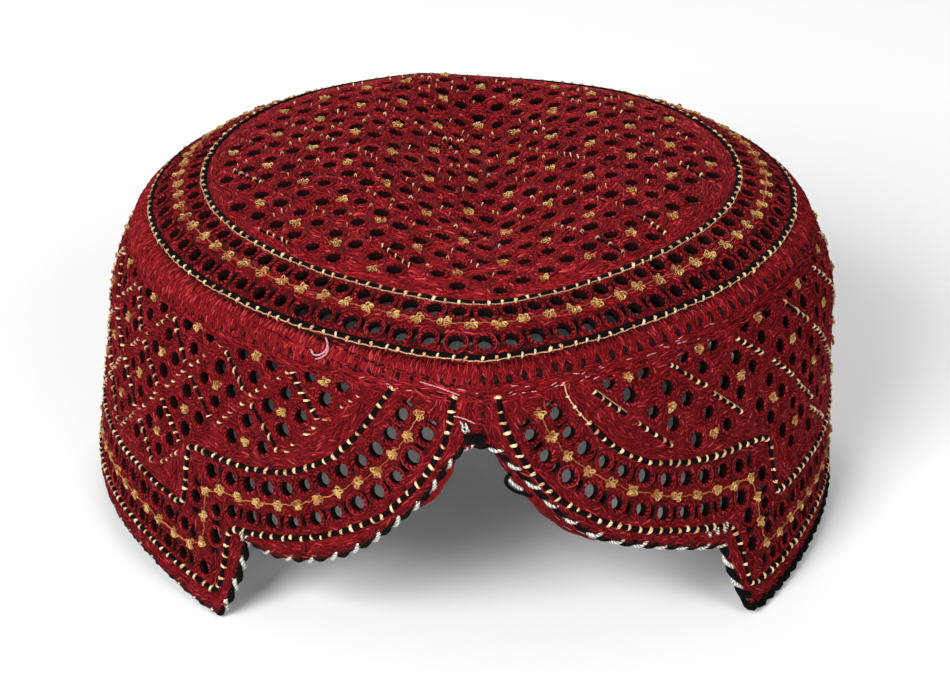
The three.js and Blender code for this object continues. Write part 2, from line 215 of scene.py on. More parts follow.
# The frame's origin is under the middle of the cap's box, and this shift is read from the crown
crown_rim = face(np.arange(44) / 44 * TAU, CROWN_EDGE)
crown_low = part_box("crown")[0]
SHIFT = np.array([crown_low.x / MM - crown_rim[:, 0].min(), crown_low.y / MM - crown_rim[:, 1].min(), 0])


def signed_length(u):
    """Length from the front middle, negative towards the wearer's right."""
    return u - BAND_LENGTH * np.round(u / BAND_LENGTH)


def crown_share(x, y):
    radius = np.interp(np.arctan2(y, x), PLAN_DIRECTIONS, PLAN_RADII, period=TAU)
    return np.hypot(x, y) / radius


def crown_point(place):
    x, y = place[..., 0], place[..., 1]
    return np.stack([x, y, crown_height(crown_share(x, y), x, y) - valley(x, y)], -1)


def crown_normal(place):
    step = 0.8
    east = crown_point(place + [step, 0]) - crown_point(place - [step, 0])
    north = crown_point(place + [0, step]) - crown_point(place - [0, step])
    return unit(np.cross(east, north))


def band_point(place):
    return face(angle_at(place[..., 0]), place[..., 1])


def band_normal(place):
    return face_normal(angle_at(place[..., 0]), place[..., 1])


def divided(corners, steps):
    """Places at even steps along each span of a line, without its last corner."""
    start, end = corners[:-1, None], corners[1:, None]
    return (start + (end - start) * (np.arange(steps) / steps)[:, None]).reshape(-1, 2)


class Sheet:
    """A cloth's outer face as a function of flat places, and what lies on it."""

    def __init__(self, point, normal):
        self.point = point
        self.normal = normal

    def places_near(self, place, across, up):
        """Places at offsets in the tangent plane of place, in millimetres of cloth."""
        step = 0.5
        first = (self.point(place + [step, 0]) - self.point(place - [step, 0])) / (2 * step)
        second = (self.point(place + [0, step]) - self.point(place - [0, step])) / (2 * step)
        e1 = unit(first)
        e2 = np.cross(self.normal(place), e1)
        second_across = (second * e1).sum(-1)
        second_up = (second * e2).sum(-1)
        scale = np.linalg.norm(first, axis=-1)
        b = up / second_up[..., None]
        a = (across - b * second_across[..., None]) / scale[..., None]
        return place[..., None, :] + np.stack([a, b], -1)

    def lay(self, place, across, up, height):
        """Points at tangent offsets from each place, lifted off the cloth by height."""
        near = self.places_near(place, across, up)
        return self.point(near) + self.normal(place)[..., None, :] * height[..., None]

    def raised(self, places, height):
        """Points lifted off the cloth by height, and the normals there."""
        normal = self.normal(places)
        return self.point(places) + normal * height, normal

    def walk(self, corners, spacing, closed=False):
        """Places spaced evenly along a line of places, measured on the cloth."""
        corners = np.asarray(corners, float)
        if closed:
            corners = np.concatenate([corners, corners[:1]])
        fine = np.concatenate([divided(corners, 24), corners[-1:]])
        lengths = run_lengths(self.point(fine))
        count = max(2, int(round(lengths[-1] / spacing)) + 1)
        places = taken_at(np.linspace(0, lengths[-1], count), lengths, fine)
        return places[:-1] if closed else places

    def directions(self, places, closed=False):
        """Unit steps along a line of places, as (across, up) in the tangent plane."""
        points = self.point(places)
        if closed:
            ahead = np.roll(points, -1, 0) - np.roll(points, 1, 0)
        else:
            ahead = np.gradient(points, axis=0)
        normal = self.normal(places)
        ahead = unit(ahead - (ahead * normal).sum(-1, keepdims=True) * normal)
        return ahead, np.cross(normal, ahead), normal


crown_sheet = Sheet(crown_point, crown_normal)
band_sheet = Sheet(band_point, band_normal)


# Making meshes from arrays

def placed(name, data):
    item = bpy.data.objects.new(name, data)
    bpy.context.scene.collection.objects.link(item)
    return item


class Soup:
    """Faces gathered for one piece, with each point's flat place and tone for its material."""

    def __init__(self):
        self.points, self.faces, self.flats, self.tones = [], [], [], []
        self.size = 0

    def add(self, points, faces, flat, tone=0.0):
        points = points.reshape(-1, 3)
        self.points.append(points)
        self.faces.append(faces + self.size)
        self.flats.append(flat.reshape(-1, 3))
        self.tones.append(np.broadcast_to(np.ravel(tone), len(points)))
        self.size += len(points)

    def build(self, name, material, slot, replaces=()):
        points = (np.concatenate(self.points) + SHIFT) * MM
        faces = np.concatenate(self.faces)
        mesh = bpy.data.meshes.new(name)
        mesh.vertices.add(len(points))
        mesh.vertices.foreach_set("co", points.astype(np.float32).ravel())
        mesh.loops.add(faces.size)
        mesh.loops.foreach_set("vertex_index", faces.astype(np.int32).ravel())
        mesh.polygons.add(len(faces))
        mesh.polygons.foreach_set("loop_start", np.arange(0, faces.size, 3, dtype=np.int32))
        mesh.polygons.foreach_set("use_smooth", np.ones(len(faces), bool))
        flat = mesh.attributes.new("flat", "FLOAT_VECTOR", "POINT")
        flat.data.foreach_set("vector", np.concatenate(self.flats).astype(np.float32).ravel())
        tone = mesh.attributes.new("tone", "FLOAT", "POINT")
        tone.data.foreach_set("value", np.concatenate(self.tones).astype(np.float32))
        mesh.update(calc_edges=True)
        mesh.validate()
        mesh.materials.append(material)
        piece = placed(name, mesh)
        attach(piece, "root")
        if replaces:
            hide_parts(*replaces)


def grid_faces(rows, columns, is_ring, flip=False):
    """Triangles over a tube of points that is numbered row by row; a ring joins its last row to its first."""
    r, c = np.meshgrid(np.arange(rows if is_ring else rows - 1), np.arange(columns), indexing="ij")
    r2, c2 = (r + 1) % rows, (c + 1) % columns
    quads = [r * columns + c, r * columns + c2, r2 * columns + c2, r2 * columns + c]
    quads = np.stack(quads[::-1] if flip else quads, -1).reshape(-1, 4)
    return np.concatenate([quads[:, [0, 1, 2]], quads[:, [0, 2, 3]]])


def repeat_faces(faces, count, size):
    return (faces + (np.arange(count) * size)[:, None, None]).reshape(-1, 3)


def pattern_layers(count):
    """A place of its own in the material's pattern for each thread."""
    return (np.arange(count) * 7.31)[:, None]


def tube_faces(steps, sides, closed):
    faces = grid_faces(steps, sides, closed)
    if closed:
        return faces
    near = np.array([[0, k + 1, k] for k in range(1, sides - 1)])
    far = near[:, ::-1] + (steps - 1) * sides
    return np.concatenate([faces, near, far])


def tubes(soup, paths, ups, width, height, sides=6, closed=False, taper=1.0, tone=0.0):
    """Tubes of oval section along paths of shape (tubes, steps, 3), with normals for ups."""
    count, steps = paths.shape[:2]
    section = count, steps, sides
    if closed:
        ahead = unit(np.roll(paths, -1, 1) - np.roll(paths, 1, 1))
    else:
        ahead = unit(np.gradient(paths, axis=1))
    side = unit(np.cross(ahead, ups))
    up = np.cross(side, ahead)
    turn = (np.arange(sides) + 0.5) / sides * TAU
    wide, high = ((np.broadcast_to(size, section[:2]) * taper)[..., None, None] for size in (width, height))
    ring = wide * np.cos(turn)[:, None] * side[:, :, None] + high * np.sin(turn)[:, None] * up[:, :, None]
    points = paths[:, :, None] + ring
    lengths = np.cumsum(np.linalg.norm(np.diff(paths, axis=1, prepend=paths[:, :1]), axis=-1), 1)
    layers = pattern_layers(count)[:, :, None]
    flat = np.stack(np.broadcast_arrays(lengths[:, :, None], turn * 0.5, layers), -1)
    faces = repeat_faces(tube_faces(steps, sides, closed), count, steps * sides)
    soup.add(points, faces, flat, np.broadcast_to(np.reshape(tone, (-1, 1, 1)), section))


# Materials

class Finish:
    """A node material built up from the mesh's flat places and tones."""

    def __init__(self, name, roughness, metallic, specular):
        self.material = bpy.data.materials.new(name)
        self.material.use_nodes = True
        self.tree = self.material.node_tree
        self.shader = self.tree.nodes["Principled BSDF"]
        self.feed(self.shader, {"Roughness": roughness, "Metallic": metallic, "Specular IOR Level": specular,
                                "Sheen Roughness": 0.4})
        self.flat = self.node("Attribute", {}, attribute_name="flat").outputs["Vector"]
        self.tone = self.node("Attribute", {}, attribute_name="tone").outputs["Fac"]

    def feed(self, node, inputs):
        for name, value in inputs.items():
            socket = node.inputs[name]
            if isinstance(value, bpy.types.NodeSocket):
                self.tree.links.new(value, socket)
            else:
                socket.default_value = value

    def node(self, kind, inputs, **settings):
        node = self.tree.nodes.new("ShaderNode" + kind)
        for name, value in settings.items():
            setattr(node, name, value)
        self.feed(node, inputs)
        return node

    def noise(self, scale, detail=3.0, roughness=0.6, distortion=0.0, vector=None):
        return self.node("TexNoise", {"Vector": vector or self.flat, "Scale": scale, "Detail": detail,
                                      "Roughness": roughness, "Distortion": distortion}).outputs["Fac"]

    def math(self, operation, first, second):
        return self.node("Math", {0: first, 1: second}, operation=operation).outputs[0]

    def blend(self, first, share, second):
        """A share of the first pattern and the rest of the second."""
        rest = self.math("MULTIPLY", second, round(1 - share, 2))
        return self.math("ADD", self.math("MULTIPLY", first, share), rest)

    def ramp(self, factor, stops):
        node = self.node("ValToRGB", {"Fac": factor})
        elements = node.color_ramp.elements
        while len(elements) < len(stops):
            elements.new(0.5)
        for element, (at, color) in zip(elements, stops):
            element.position = at
            element.color = (*color, 1)
        return node.outputs["Color"]

    def finish(self, color, bumps):
        """Colours the shader and adds bumps, each (height, distance in millimetres)."""
        self.feed(self.shader, {"Base Color": color})
        for height, distance in bumps:
            node = self.node("Bump", {"Strength": 1.0, "Distance": distance * MM, "Height": height})
            if self.shader.inputs["Normal"].links:
                self.feed(node, {"Normal": self.shader.inputs["Normal"].links[0].from_socket})
            self.feed(self.shader, {"Normal": node.outputs["Normal"]})
        return self.material


# The red ramp is partly painted light: its deep red end is partly painted shade between fibres, and its
# bright red end partly painted highlight of the floss's gloss
DEEP_RED = (0.03, 0.001, 0.002)
CLOTH_RED = (0.125, 0.003, 0.005)
THREAD_RED = (0.22, 0.005, 0.009)
BRIGHT_RED = (0.42, 0.04, 0.046)
# The black that tone mixes in: randomly darker threads, and painted shade in holes, hollows and creases
DARK_THREAD_AND_SHADE_BLACK = (0.004, 0.002, 0.002)


def red_thread(name, stretch, grain, bump, brightness=1.0, roughness=0.68):
    """Red floss: streaks along one flat direction and a mottle; tone runs from bright, -1, to black, 1. The
    black end is partly painted shade on hole walls, hollows and creases, and the bright end is partly painted
    glints and highlights.
    """
    finish = Finish(name, roughness, 0.0, 0.08)
    stretched = finish.node("Mapping", {"Vector": finish.flat, "Scale": stretch}).outputs["Vector"]
    streaks = finish.noise(grain, 4.0, 0.65, 0.6, stretched)
    both = finish.blend(streaks, 0.72, finish.noise(0.11))
    lift = finish.math("MULTIPLY", finish.math("MINIMUM", finish.tone, 0.0), -0.3)
    reds = [[brightness * c for c in color] for color in (DEEP_RED, CLOTH_RED, THREAD_RED, BRIGHT_RED)]
    red = finish.ramp(finish.math("ADD", both, lift), list(zip((0.3, 0.43, 0.58, 0.8), reds)))
    blackness = finish.math("MAXIMUM", finish.tone, 0.0)
    mix = finish.node("Mix", {0: blackness, 6: red, 7: (*DARK_THREAD_AND_SHADE_BLACK, 1)}, data_type="RGBA")
    return finish.finish(mix.outputs[2], [(streaks, bump), (finish.noise(0.9), bump * 0.7)])


cloth_material = red_thread("red_embroidered_cloth", (1.0, 1.0, 1.0), 1.5, 0.55)
ring_material = red_thread("red_buttonhole_thread", (1.2, 2.0, 1.0), 1.3, 0.25, 1.1)
# One red floss in two copies, painted light and shade: the crown's copy is painted lighter and the band's
# painted darker
crown_floss_lit_material = red_thread("red_floss_painted_lighter", (0.8, 2.2, 1.0), 1.2, 0.25, 1.32)
band_floss_shaded_material = red_thread("red_band_floss_painted_darker", (0.8, 2.2, 1.0), 1.2, 0.25, 0.96)
seam_material = red_thread("red_satin_stitches", (0.5, 2.4, 1.0), 1.4, 0.25, 1.1, 0.6)


def plain_thread(name, dark, light, roughness, metallic=0.0, bump=0.12, specular=0.5, full=0.7):
    """Thread of one colour, from dark to light; it is fully light where the pattern reaches full."""
    finish = Finish(name, roughness, metallic, specular)
    twist = finish.node("TexWave", {"Vector": finish.flat, "Scale": 0.9, "Distortion": 3.0, "Detail": 2.0,
                                    "Detail Scale": 1.5}, bands_direction="DIAGONAL").outputs["Fac"]
    speckle = finish.noise(2.4)
    both = finish.blend(twist, 0.45, speckle)
    lift = finish.math("MULTIPLY", finish.tone, -0.4)
    color = finish.ramp(finish.math("ADD", both, lift), [(0.25, dark), (full, light)])
    return finish.finish(color, [(twist, bump), (speckle, bump)])


gold_material = plain_thread("gold_thread", (0.5, 0.1, 0.012), (1.0, 0.62, 0.17), 0.3, 0.1,
                             specular=1.0, full=0.52)
cream_material = plain_thread("pale_gold_thread", (0.52, 0.17, 0.06), (1.0, 0.7, 0.38), 0.34, 0.1,
                              specular=0.8, full=0.6)
orange_material = plain_thread("orange_link_thread", (0.26, 0.03, 0.006), (0.8, 0.24, 0.04), 0.5)
black_material = plain_thread("black_cord", (0.0008, 0.0006, 0.0006), (0.004, 0.003, 0.0028), 0.8,
                              bump=0.15, specular=0.06)
silver_material = plain_thread("silver_strand", (0.22, 0.2, 0.17), (0.8, 0.77, 0.7), 0.34, 0.55, 0.1)
pink_material = plain_thread("pink_thread", (0.5, 0.14, 0.16), (0.85, 0.42, 0.42), 0.55)

# The embroidery chart of the crown
FOUR_WAYS = (1, 0), (-1, 0), (0, 1), (0, -1)
LATTICE_X = 8.972
LATTICE_Y = 8.591
LATTICE_TURN = math.radians(-5.789)
LATTICE_MIDDLE = (5.743, -41.11)
LATTICE_CLOSING = 2.307
RING_REACH = 4.5
FLOWER_ROOM = 4.2
EYELET_ROOM = 4.6
HOLE_RADIUS = 1.42
CROWN_HOLE_GROWTH = 1.05
BAR_SPACING_CROWN = 2.85
BAR_SPACING_BAND = 2.55


def crown_lattice(i, j):
    x = LATTICE_X * np.asarray(i, float)
    y = LATTICE_Y * np.asarray(j, float) - 0.014 * x - LATTICE_CLOSING * (np.asarray(j, float) / 5 - 1) ** 2
    across = x * math.cos(LATTICE_TURN) - y * math.sin(LATTICE_TURN) + LATTICE_MIDDLE[0]
    along = x * math.sin(LATTICE_TURN) + y * math.cos(LATTICE_TURN) + LATTICE_MIDDLE[1]
    return np.stack([across - 0.083 * (along / 50) ** 2 * across / 50, along], -1)


lattice_i, lattice_j = np.meshgrid(np.arange(-14, 15), np.arange(-8, 18), indexing="ij")
is_node = (lattice_i + lattice_j) % 2 == 0
node_i, node_j = lattice_i[is_node].astype(float), lattice_j[is_node].astype(float)


def crown_room(places):
    """How far a place is inside the inner ring of couching."""
    return (INNER_RING - crown_share(places[:, 0], places[:, 1])) * MEAN_RADIUS


crown_flowers = crown_lattice(node_i, node_j)
crown_flowers = crown_flowers[crown_room(crown_flowers) > FLOWER_ROOM]
reach = RING_REACH / LATTICE_X
field_eyelets = np.concatenate([crown_lattice(node_i + reach * di, node_j + reach * dj)
                                for di, dj in FOUR_WAYS])
field_eyelets = field_eyelets[crown_room(field_eyelets) > EYELET_ROOM]


# How much further out the inner ring runs at the very back, as a share of the plan
BACK_RING_WIDENING = 0.04


def ring_places(share, count, offset):
    """Places spaced evenly round the crown at a share of its plan."""
    angles = np.linspace(-math.pi, math.pi, 1441)
    x, y = plan_point(CROWN, angles)
    backness = np.maximum(0, np.sin(angles)) ** 4
    wider = share + BACK_RING_WIDENING * (OUTER_RING - share) / (OUTER_RING - INNER_RING) * backness
    places = np.stack([x * wider, y * wider], -1)
    lengths = run_lengths(crown_point(places))
    return taken_at((np.arange(count) + offset) / count * lengths[-1], lengths, places)


CROWN_BORDER_COUNT = 76
BORDER_FLOWER_SHARE = 0.805
BORDER_EYELET_SHARES = 0.763, 0.849
BORDER_SLOT_SHARES = 0.767, 0.844
border_flowers = ring_places(BORDER_FLOWER_SHARE, CROWN_BORDER_COUNT, 0.0)
border_eyelets = np.concatenate([ring_places(share, CROWN_BORDER_COUNT, 0.5)
                                 for share in BORDER_EYELET_SHARES])
crown_slots = np.concatenate([ring_places(share, CROWN_BORDER_COUNT, 0.0) for share in BORDER_SLOT_SHARES])
SLOT_HALF_WIDTH = 0.62
SLOT_HALF_LENGTH = 1.15

# The embroidery chart of the band, as lengths from the front middle and heights on the cloth
L = BAND_LENGTH


def rounded(corners):
    """Corner cutting, so a charted line turns softly."""
    line = np.asarray(corners, float)
    for _ in range(2):
        first, second = line[:-1], line[1:]
        cut = np.stack([first * 0.75 + second * 0.25, first * 0.25 + second * 0.75], 1).reshape(-1, 2)
        line = np.concatenate([line[:1], cut, line[-1:]])
    return line


def charted_line(right, left):
    """A line of the chart: its right half, and its left half with lengths that count back from the front."""
    return rounded(np.concatenate([right, np.array(left) + [L, 0]]))


inner_line = charted_line(
    [(20.2, 61), (20.4, 58.6), (22.8, 54.7), (26.3, 50.4), (30.1, 45.7), (34.5, 42.2), (39.2, 39.8),
     (44.8, 38.1), (50.8, 36.8), (56.8, 36), (63.7, 35.3), (69.5, 34.6), (72.8, 33.4), (73.4, 31),
     (73.6, 21.5), (75.5, 19.5)],
    [(-81, 19.2), (-79, 20.8), (-79, 32), (-78.4, 33.7), (-73, 34.5), (-66.1, 34.9), (-59.2, 35.5),
     (-53.2, 36.6), (-47.1, 38.3), (-40.3, 41.8), (-35.9, 44.4), (-31.6, 48.7), (-28.2, 53.4), (-23, 61)])
flower_line = charted_line(
    [(12.7, 58), (15.8, 51.6), (19.1, 46.7), (22.7, 43.1), (26.9, 39.5), (31.4, 36.6), (37, 34.1),
     (42.6, 31.9), (48.2, 30.4), (54.7, 29.3), (60.5, 28.4), (65.2, 28.2), (66.5, 26.5), (66.1, 17.2),
     (66.2, 13.2), (68, 12)],
    [(-74, 12), (-72.2, 13.5), (-72.1, 17.5), (-72.2, 26.5), (-71, 28.1), (-66.5, 28.1), (-61.4, 28.5),
     (-55.8, 29.3), (-50.2, 30.6), (-44.6, 32.4), (-38.5, 35.4), (-32.5, 38.8), (-27.1, 42.3),
     (-22.2, 46.6), (-18.5, 51.6), (-15.3, 58)])
outer_line = charted_line(
    [(4.3, 60.8), (4.7, 56.9), (6.5, 52.6), (8.6, 49), (11.2, 44.4), (14.2, 40.1), (17.7, 36.2),
     (25, 31.5), (30.1, 29.1), (36.2, 26.7), (42.2, 25), (48.2, 23.3), (55.5, 21.2), (57.9, 19.5),
     (59.3, 10.3), (60, 6.8), (62, 5.6)],
    [(-69, 5.8), (-66.9, 7), (-65.7, 11.2), (-64.6, 20.4), (-63, 21.6), (-55.8, 22.6), (-48.9, 24.1),
     (-42.8, 25.9), (-35.9, 28.7), (-30.3, 31.5), (-24.7, 34.5), (-19.6, 39.2), (-14.4, 43.9), (-11, 49.1),
     (-8.8, 53.4), (-7.5, 60.8)])
BAND_PITCH_U = (L - 116.2) / 21
BAND_FIRST_NODE = 55.8
BAND_ROWS = (59.2, 50.1, 41.0, 31.9, 22.8)
BAND_EYELET_ACROSS = 4.5
BAND_EYELET_UP = 4.1
FLOWER_PITCH = 5.6
BORDER_OFFSET = 3.35


def distance_to(line, places):
    """Distance in the flat from each place to a line of places."""
    best = np.full(len(places), np.inf)
    for shift in (-L, 0, L):
        start, end = line[:-1] + [shift, 0], line[1:] + [shift, 0]
        span = end - start
        along = ((places[:, None] - start) * span).sum(-1) / (span * span).sum(-1)
        nearest = start + np.clip(along, 0, 1)[..., None] * span
        best = np.minimum(best, np.linalg.norm(places[:, None] - nearest, axis=-1).min(1))
    return best


def is_above(line, places):
    """True where a place lies on the lattice's side of the inner line."""
    u = np.mod(places[:, 0], L)
    height = np.interp(u, line[:, 0], line[:, 1], left=99, right=99)
    return places[:, 1] > height


def lattice_skew(u, v):
    """The right half's lattice leans a little forwards towards the rim."""
    signed = signed_length(u)
    lean = 0.25 * np.maximum(0, 41 - v) * smooth((signed - 40) / 20) * smooth((150 - signed) / 40)
    return u - lean


def band_nodes():
    nodes = []
    for row, v in enumerate(BAND_ROWS):
        first = BAND_FIRST_NODE - 3 * BAND_PITCH_U + (row % 2) * BAND_PITCH_U / 2
        for k in range(27):
            u = first + k * BAND_PITCH_U
            if u < L - 10:
                nodes.append((u, v))
    return np.array(nodes)


band_pattern_nodes = band_nodes()


def band_offset(nodes, du, dv):
    places = nodes + [du, dv]
    return np.stack([lattice_skew(places[:, 0], places[:, 1]), places[:, 1]], -1)


def allowed(places, distance, top):
    keep = is_above(inner_line, places) & (distance_to(inner_line, places) > distance) & (places[:, 1] < top)
    return places[keep]


band_flowers = allowed(band_offset(band_pattern_nodes, 0, 0), 3.4, 60)
lattice_eyelets = np.concatenate([
    band_offset(band_pattern_nodes, BAND_EYELET_ACROSS * du, BAND_EYELET_UP * dv) for du, dv in FOUR_WAYS])
lattice_eyelets = allowed(lattice_eyelets, 3.9, 59.6)


def spaced(places, least):
    """Places with any dropped that comes too near to an earlier one."""
    kept = []
    for place in places:
        if all((place[0] - k[0]) ** 2 + (place[1] - k[1]) ** 2 > least * least for k in kept):
            kept.append(place)
    return np.array(kept)


def beside_line(line, pitch, distance, offset):
    """Places at a distance to one side of a line, every pitch along it."""
    walked = band_sheet.walk(line, 0.5)
    normals = np.gradient(walked, axis=0)
    normals = np.stack([-normals[:, 1], normals[:, 0]], -1)
    normals /= np.linalg.norm(normals, axis=1, keepdims=True)
    moved = walked + normals * distance
    lengths = run_lengths(walked)
    return taken_at(np.arange(offset * pitch, lengths[-1], pitch), lengths, moved)


line_flowers = beside_line(flower_line, FLOWER_PITCH, 0, 0.35)
line_eyelets = np.concatenate([beside_line(flower_line, FLOWER_PITCH, BORDER_OFFSET, 0.85),
                               beside_line(flower_line, FLOWER_PITCH, -BORDER_OFFSET, 0.85)])
line_eyelets = spaced(line_eyelets[line_eyelets[:, 1] < 59.8], 4.5)
line_gaps = np.concatenate([beside_line(flower_line, FLOWER_PITCH, BORDER_OFFSET, 0.35),
                            beside_line(flower_line, FLOWER_PITCH, -BORDER_OFFSET, 0.35)])
line_gaps = line_gaps[line_gaps[:, 1] < 59.0]


def shaken(places, amount=0.16):
    return places + rng.normal(0, amount, places.shape)


field_eyelets = shaken(field_eyelets)
border_eyelets = shaken(border_eyelets, 0.12)
lattice_eyelets = shaken(lattice_eyelets)
line_eyelets = shaken(line_eyelets, 0.12)
crown_eyelets = np.concatenate([field_eyelets, border_eyelets])
band_eyelets = np.concatenate([lattice_eyelets, line_eyelets])
crown_hole_radii = HOLE_RADIUS * CROWN_HOLE_GROWTH * rng.uniform(0.9, 1.1, len(crown_eyelets))
band_hole_radii = HOLE_RADIUS * rng.uniform(0.9, 1.12, len(band_eyelets))
crown_slot_turns = np.arctan2(crown_slots[:, 1], crown_slots[:, 0])


# The edging cord's route, as the CAD source has it, but finer

def cord_route():
    halves = []
    for lobe in LOBES:
        start = NOTCH_CENTRE + lobe["sign"] * NOTCH_HALF_WIDTH
        end = lobe["sign"] * lobe["foot"]
        share = np.arange(19) / 18
        up = np.interp(share, lobe["out"], lobe["up"])
        lobe_part = np.stack([start + (end - start) * share,
                              CORD_RADIUS + lobe["height"] + (NOTCH_HEIGHT - lobe["height"]) * up], -1)
        leg = np.arange(1, 5) / 4
        leg_part = np.stack([end + lobe["sign"] * lobe["tip"] * leg ** 1.5,
                             CORD_RADIUS + lobe["height"] * (1 - leg)], -1)
        halves.append(np.concatenate([lobe_part, leg_part]))
    right, left = halves
    flat = np.stack([np.linspace(right[-1, 0], left[-1, 0] + L, 70)[1:-1], np.full(68, CORD_RADIUS)], -1)
    return np.concatenate([right, flat, left[::-1] + [L, 0], right[:1] + [L, 0]])


def cord_middle(places):
    angle = angle_at(places[:, 0])
    outward = face_normal(angle, places[:, 1]) * [1, 1, 0]
    return face(angle, places[:, 1]) - unit(outward) * CLOTH / 2, unit(outward)


def cord_points(spacing):
    """Even points of the closed cord with its outward direction at each."""
    fine = divided(cord_route(), 12)
    for _ in range(6):
        before = np.concatenate([fine[-1:] - [L, 0], fine[:-1]])
        after = np.concatenate([fine[1:], fine[:1] + [L, 0]])
        fine = (before + 2 * fine + after) / 4
    middle, outward = (np.concatenate([part, part[:1]]) for part in cord_middle(fine))
    lengths = run_lengths(middle)
    count = int(round(lengths[-1] / spacing))
    at = np.arange(count) / count * lengths[-1]
    return taken_at(at, lengths, middle), unit(taken_at(at, lengths, outward)), lengths[-1], fine


rope_middle, rope_out, rope_length, rope_places = cord_points(0.6)


def cloth_edge(u):
    """Height of the band's cut edge, just above the cord."""
    order = np.argsort(rope_places[:, 0])
    lengths, heights = rope_places[order].T
    return np.interp(np.mod(u - lengths[0], L) + lengths[0], lengths, heights)


# Cloth: a triangulated flat pattern with its eyelets cut out, given the cloth's thickness

HOLE_TURN = np.arange(14) / 14 * TAU


def turned(long, wide, directions):
    """Offsets along and across a direction for each place, as offsets across and up the cloth."""
    c, s = np.cos(directions), np.sin(directions)
    return long * c - wide * s, long * s + wide * c


def holes_in(sheet, centres, radii):
    return sheet.places_near(centres, radii[:, None] * np.cos(HOLE_TURN), radii[:, None] * np.sin(HOLE_TURN))


def slots_in(sheet, centres, directions):
    """Long narrow openings, each pointing in its own direction in the cloth."""
    long, wide = SLOT_HALF_LENGTH * np.cos(HOLE_TURN), SLOT_HALF_WIDTH * np.sin(HOLE_TURN)
    return sheet.places_near(centres, *turned(long, wide, directions[:, None]))


def nearest_of(places, centres):
    """Distance to the nearest of the centres, and which it is."""
    best, which = np.full(len(places), np.inf), np.zeros(len(places), int)
    for chunk in range(0, len(centres), 64):
        away = np.linalg.norm(places[:, None] - centres[None, chunk:chunk + 64], axis=-1)
        index = away.argmin(1)
        least = away[np.arange(len(places)), index]
        is_nearer = least < best
        best[is_nearer] = least[is_nearer]
        which[is_nearer] = index[is_nearer] + chunk
    return best, which


def band_slot_places():
    """Slots beside the flowers of the band's line, where they keep clear of the eyelets."""
    away, which = nearest_of(line_gaps, line_flowers)
    gaps, flowers = line_gaps[away < 4.5], line_flowers[which[away < 4.5]]
    turns = np.arctan2(gaps[:, 1] - flowers[:, 1], gaps[:, 0] - flowers[:, 0])
    is_clear = nearest_of(gaps, band_eyelets)[0] > HOLE_RADIUS + SLOT_HALF_WIDTH + 0.4
    return gaps[is_clear], turns[is_clear]


def slot_distance(places, centres, turns):
    """Distance from each place to the middle line of the nearest slot."""
    which = nearest_of(places, centres)[1]
    offset = places - centres[which]
    along, aside = turned(*offset.T, -turns[which])
    return np.hypot(along - np.clip(along, -0.5, 0.5), aside)


def hex_grid(low, high, pitch):
    rows = np.arange(low[1], high[1], pitch * math.sqrt(3) / 2)
    places = []
    for k, y in enumerate(rows):
        x = np.arange(low[0] + (k % 2) * pitch / 2, high[0], pitch)
        places.append(np.stack([x, np.full(len(x), y)], -1))
    return np.concatenate(places)


band_slots, band_slot_turns = band_slot_places()
band_centres = np.stack([np.mod(band_eyelets[:, 0], L), band_eyelets[:, 1]], -1)
CLOTH_PITCH = 1.9


def pattern_faces(outline, inside, rings):
    """Triangles of a flat pattern: its outline, loose inside points, and rings cut out of it."""
    count, sides = rings.shape[:2]
    places = np.concatenate([outline, rings.reshape(-1, 2), inside])
    edges = [(i, (i + 1) % len(outline)) for i in range(len(outline))]
    base = len(outline)
    for k in range(count):
        edges += [(base + k * sides + i, base + k * sides + (i + 1) % sides) for i in range(sides)]
    result = delaunay_2d_cdt([Vector(p) for p in places], edges, [], 1, 1e-5)
    flat = np.array([tuple(v) for v in result[0]])
    faces = np.array([f for f in result[2] if len(f) == 3])
    middles = flat[faces].mean(1)
    keep = np.ones(len(faces), bool)
    for ring in rings:
        low, high = ring.min(0), ring.max(0)
        near = np.flatnonzero(((middles > low) & (middles < high)).all(1))
        start, end = ring, np.roll(ring, -1, 0)
        side = (end[:, 0] - start[:, 0]) * (middles[near, None, 1] - start[:, 1]) \
            - (end[:, 1] - start[:, 1]) * (middles[near, None, 0] - start[:, 0])
        keep[near[(side > 0).all(1) | (side < 0).all(1)]] = False
    return flat, faces[keep]


def with_thickness(sheet, flat, faces, relief, tone):
    """Both faces of the cloth and the walls between them, with painted shade: the cut rims, the walls and the
    inner face are darkened towards black.
    """
    outer = sheet.point(flat) + sheet.normal(flat) * relief[:, None]
    inner = sheet.point(flat) - sheet.normal(flat) * CLOTH
    count = len(flat)
    is_cut = np.zeros(count, bool)
    edges = np.concatenate([faces[:, [0, 1]], faces[:, [1, 2]], faces[:, [2, 0]]])
    keys = edges.min(1) * count + edges.max(1)
    _, first, times = np.unique(keys, return_index=True, return_counts=True)
    rim = edges[first[times == 1]]
    is_cut[rim.ravel()] = True
    walls = np.concatenate([np.stack([rim[:, 1], rim[:, 0], rim[:, 0] + count], -1),
                            np.stack([rim[:, 1], rim[:, 0] + count, rim[:, 1] + count], -1)])
    points = np.concatenate([outer, inner])
    triangles = np.concatenate([faces, faces[:, ::-1] + count, walls])
    layers = np.concatenate([np.column_stack([flat, np.full(count, layer)]) for layer in (0.0, 40.0)])
    # Painted shade: tone 0.85 at the outer face's cut rims, 0.8 over the inner face and 1 at its rims
    return points, triangles, layers, np.concatenate([np.where(is_cut, 0.85, tone), np.where(is_cut, 1, 0.8)])


def ripple(flat):
    """A gentle unevenness of hand-stitched cloth."""
    x, y = flat[:, 0], flat[:, 1]
    return (0.14 * np.sin(x * 0.83 + 1.3 * np.sin(y * 0.31)) * np.cos(y * 0.77 + np.sin(x * 0.23))
            + 0.1 * np.sin(x * 1.9 + 0.4) * np.sin(y * 2.1))


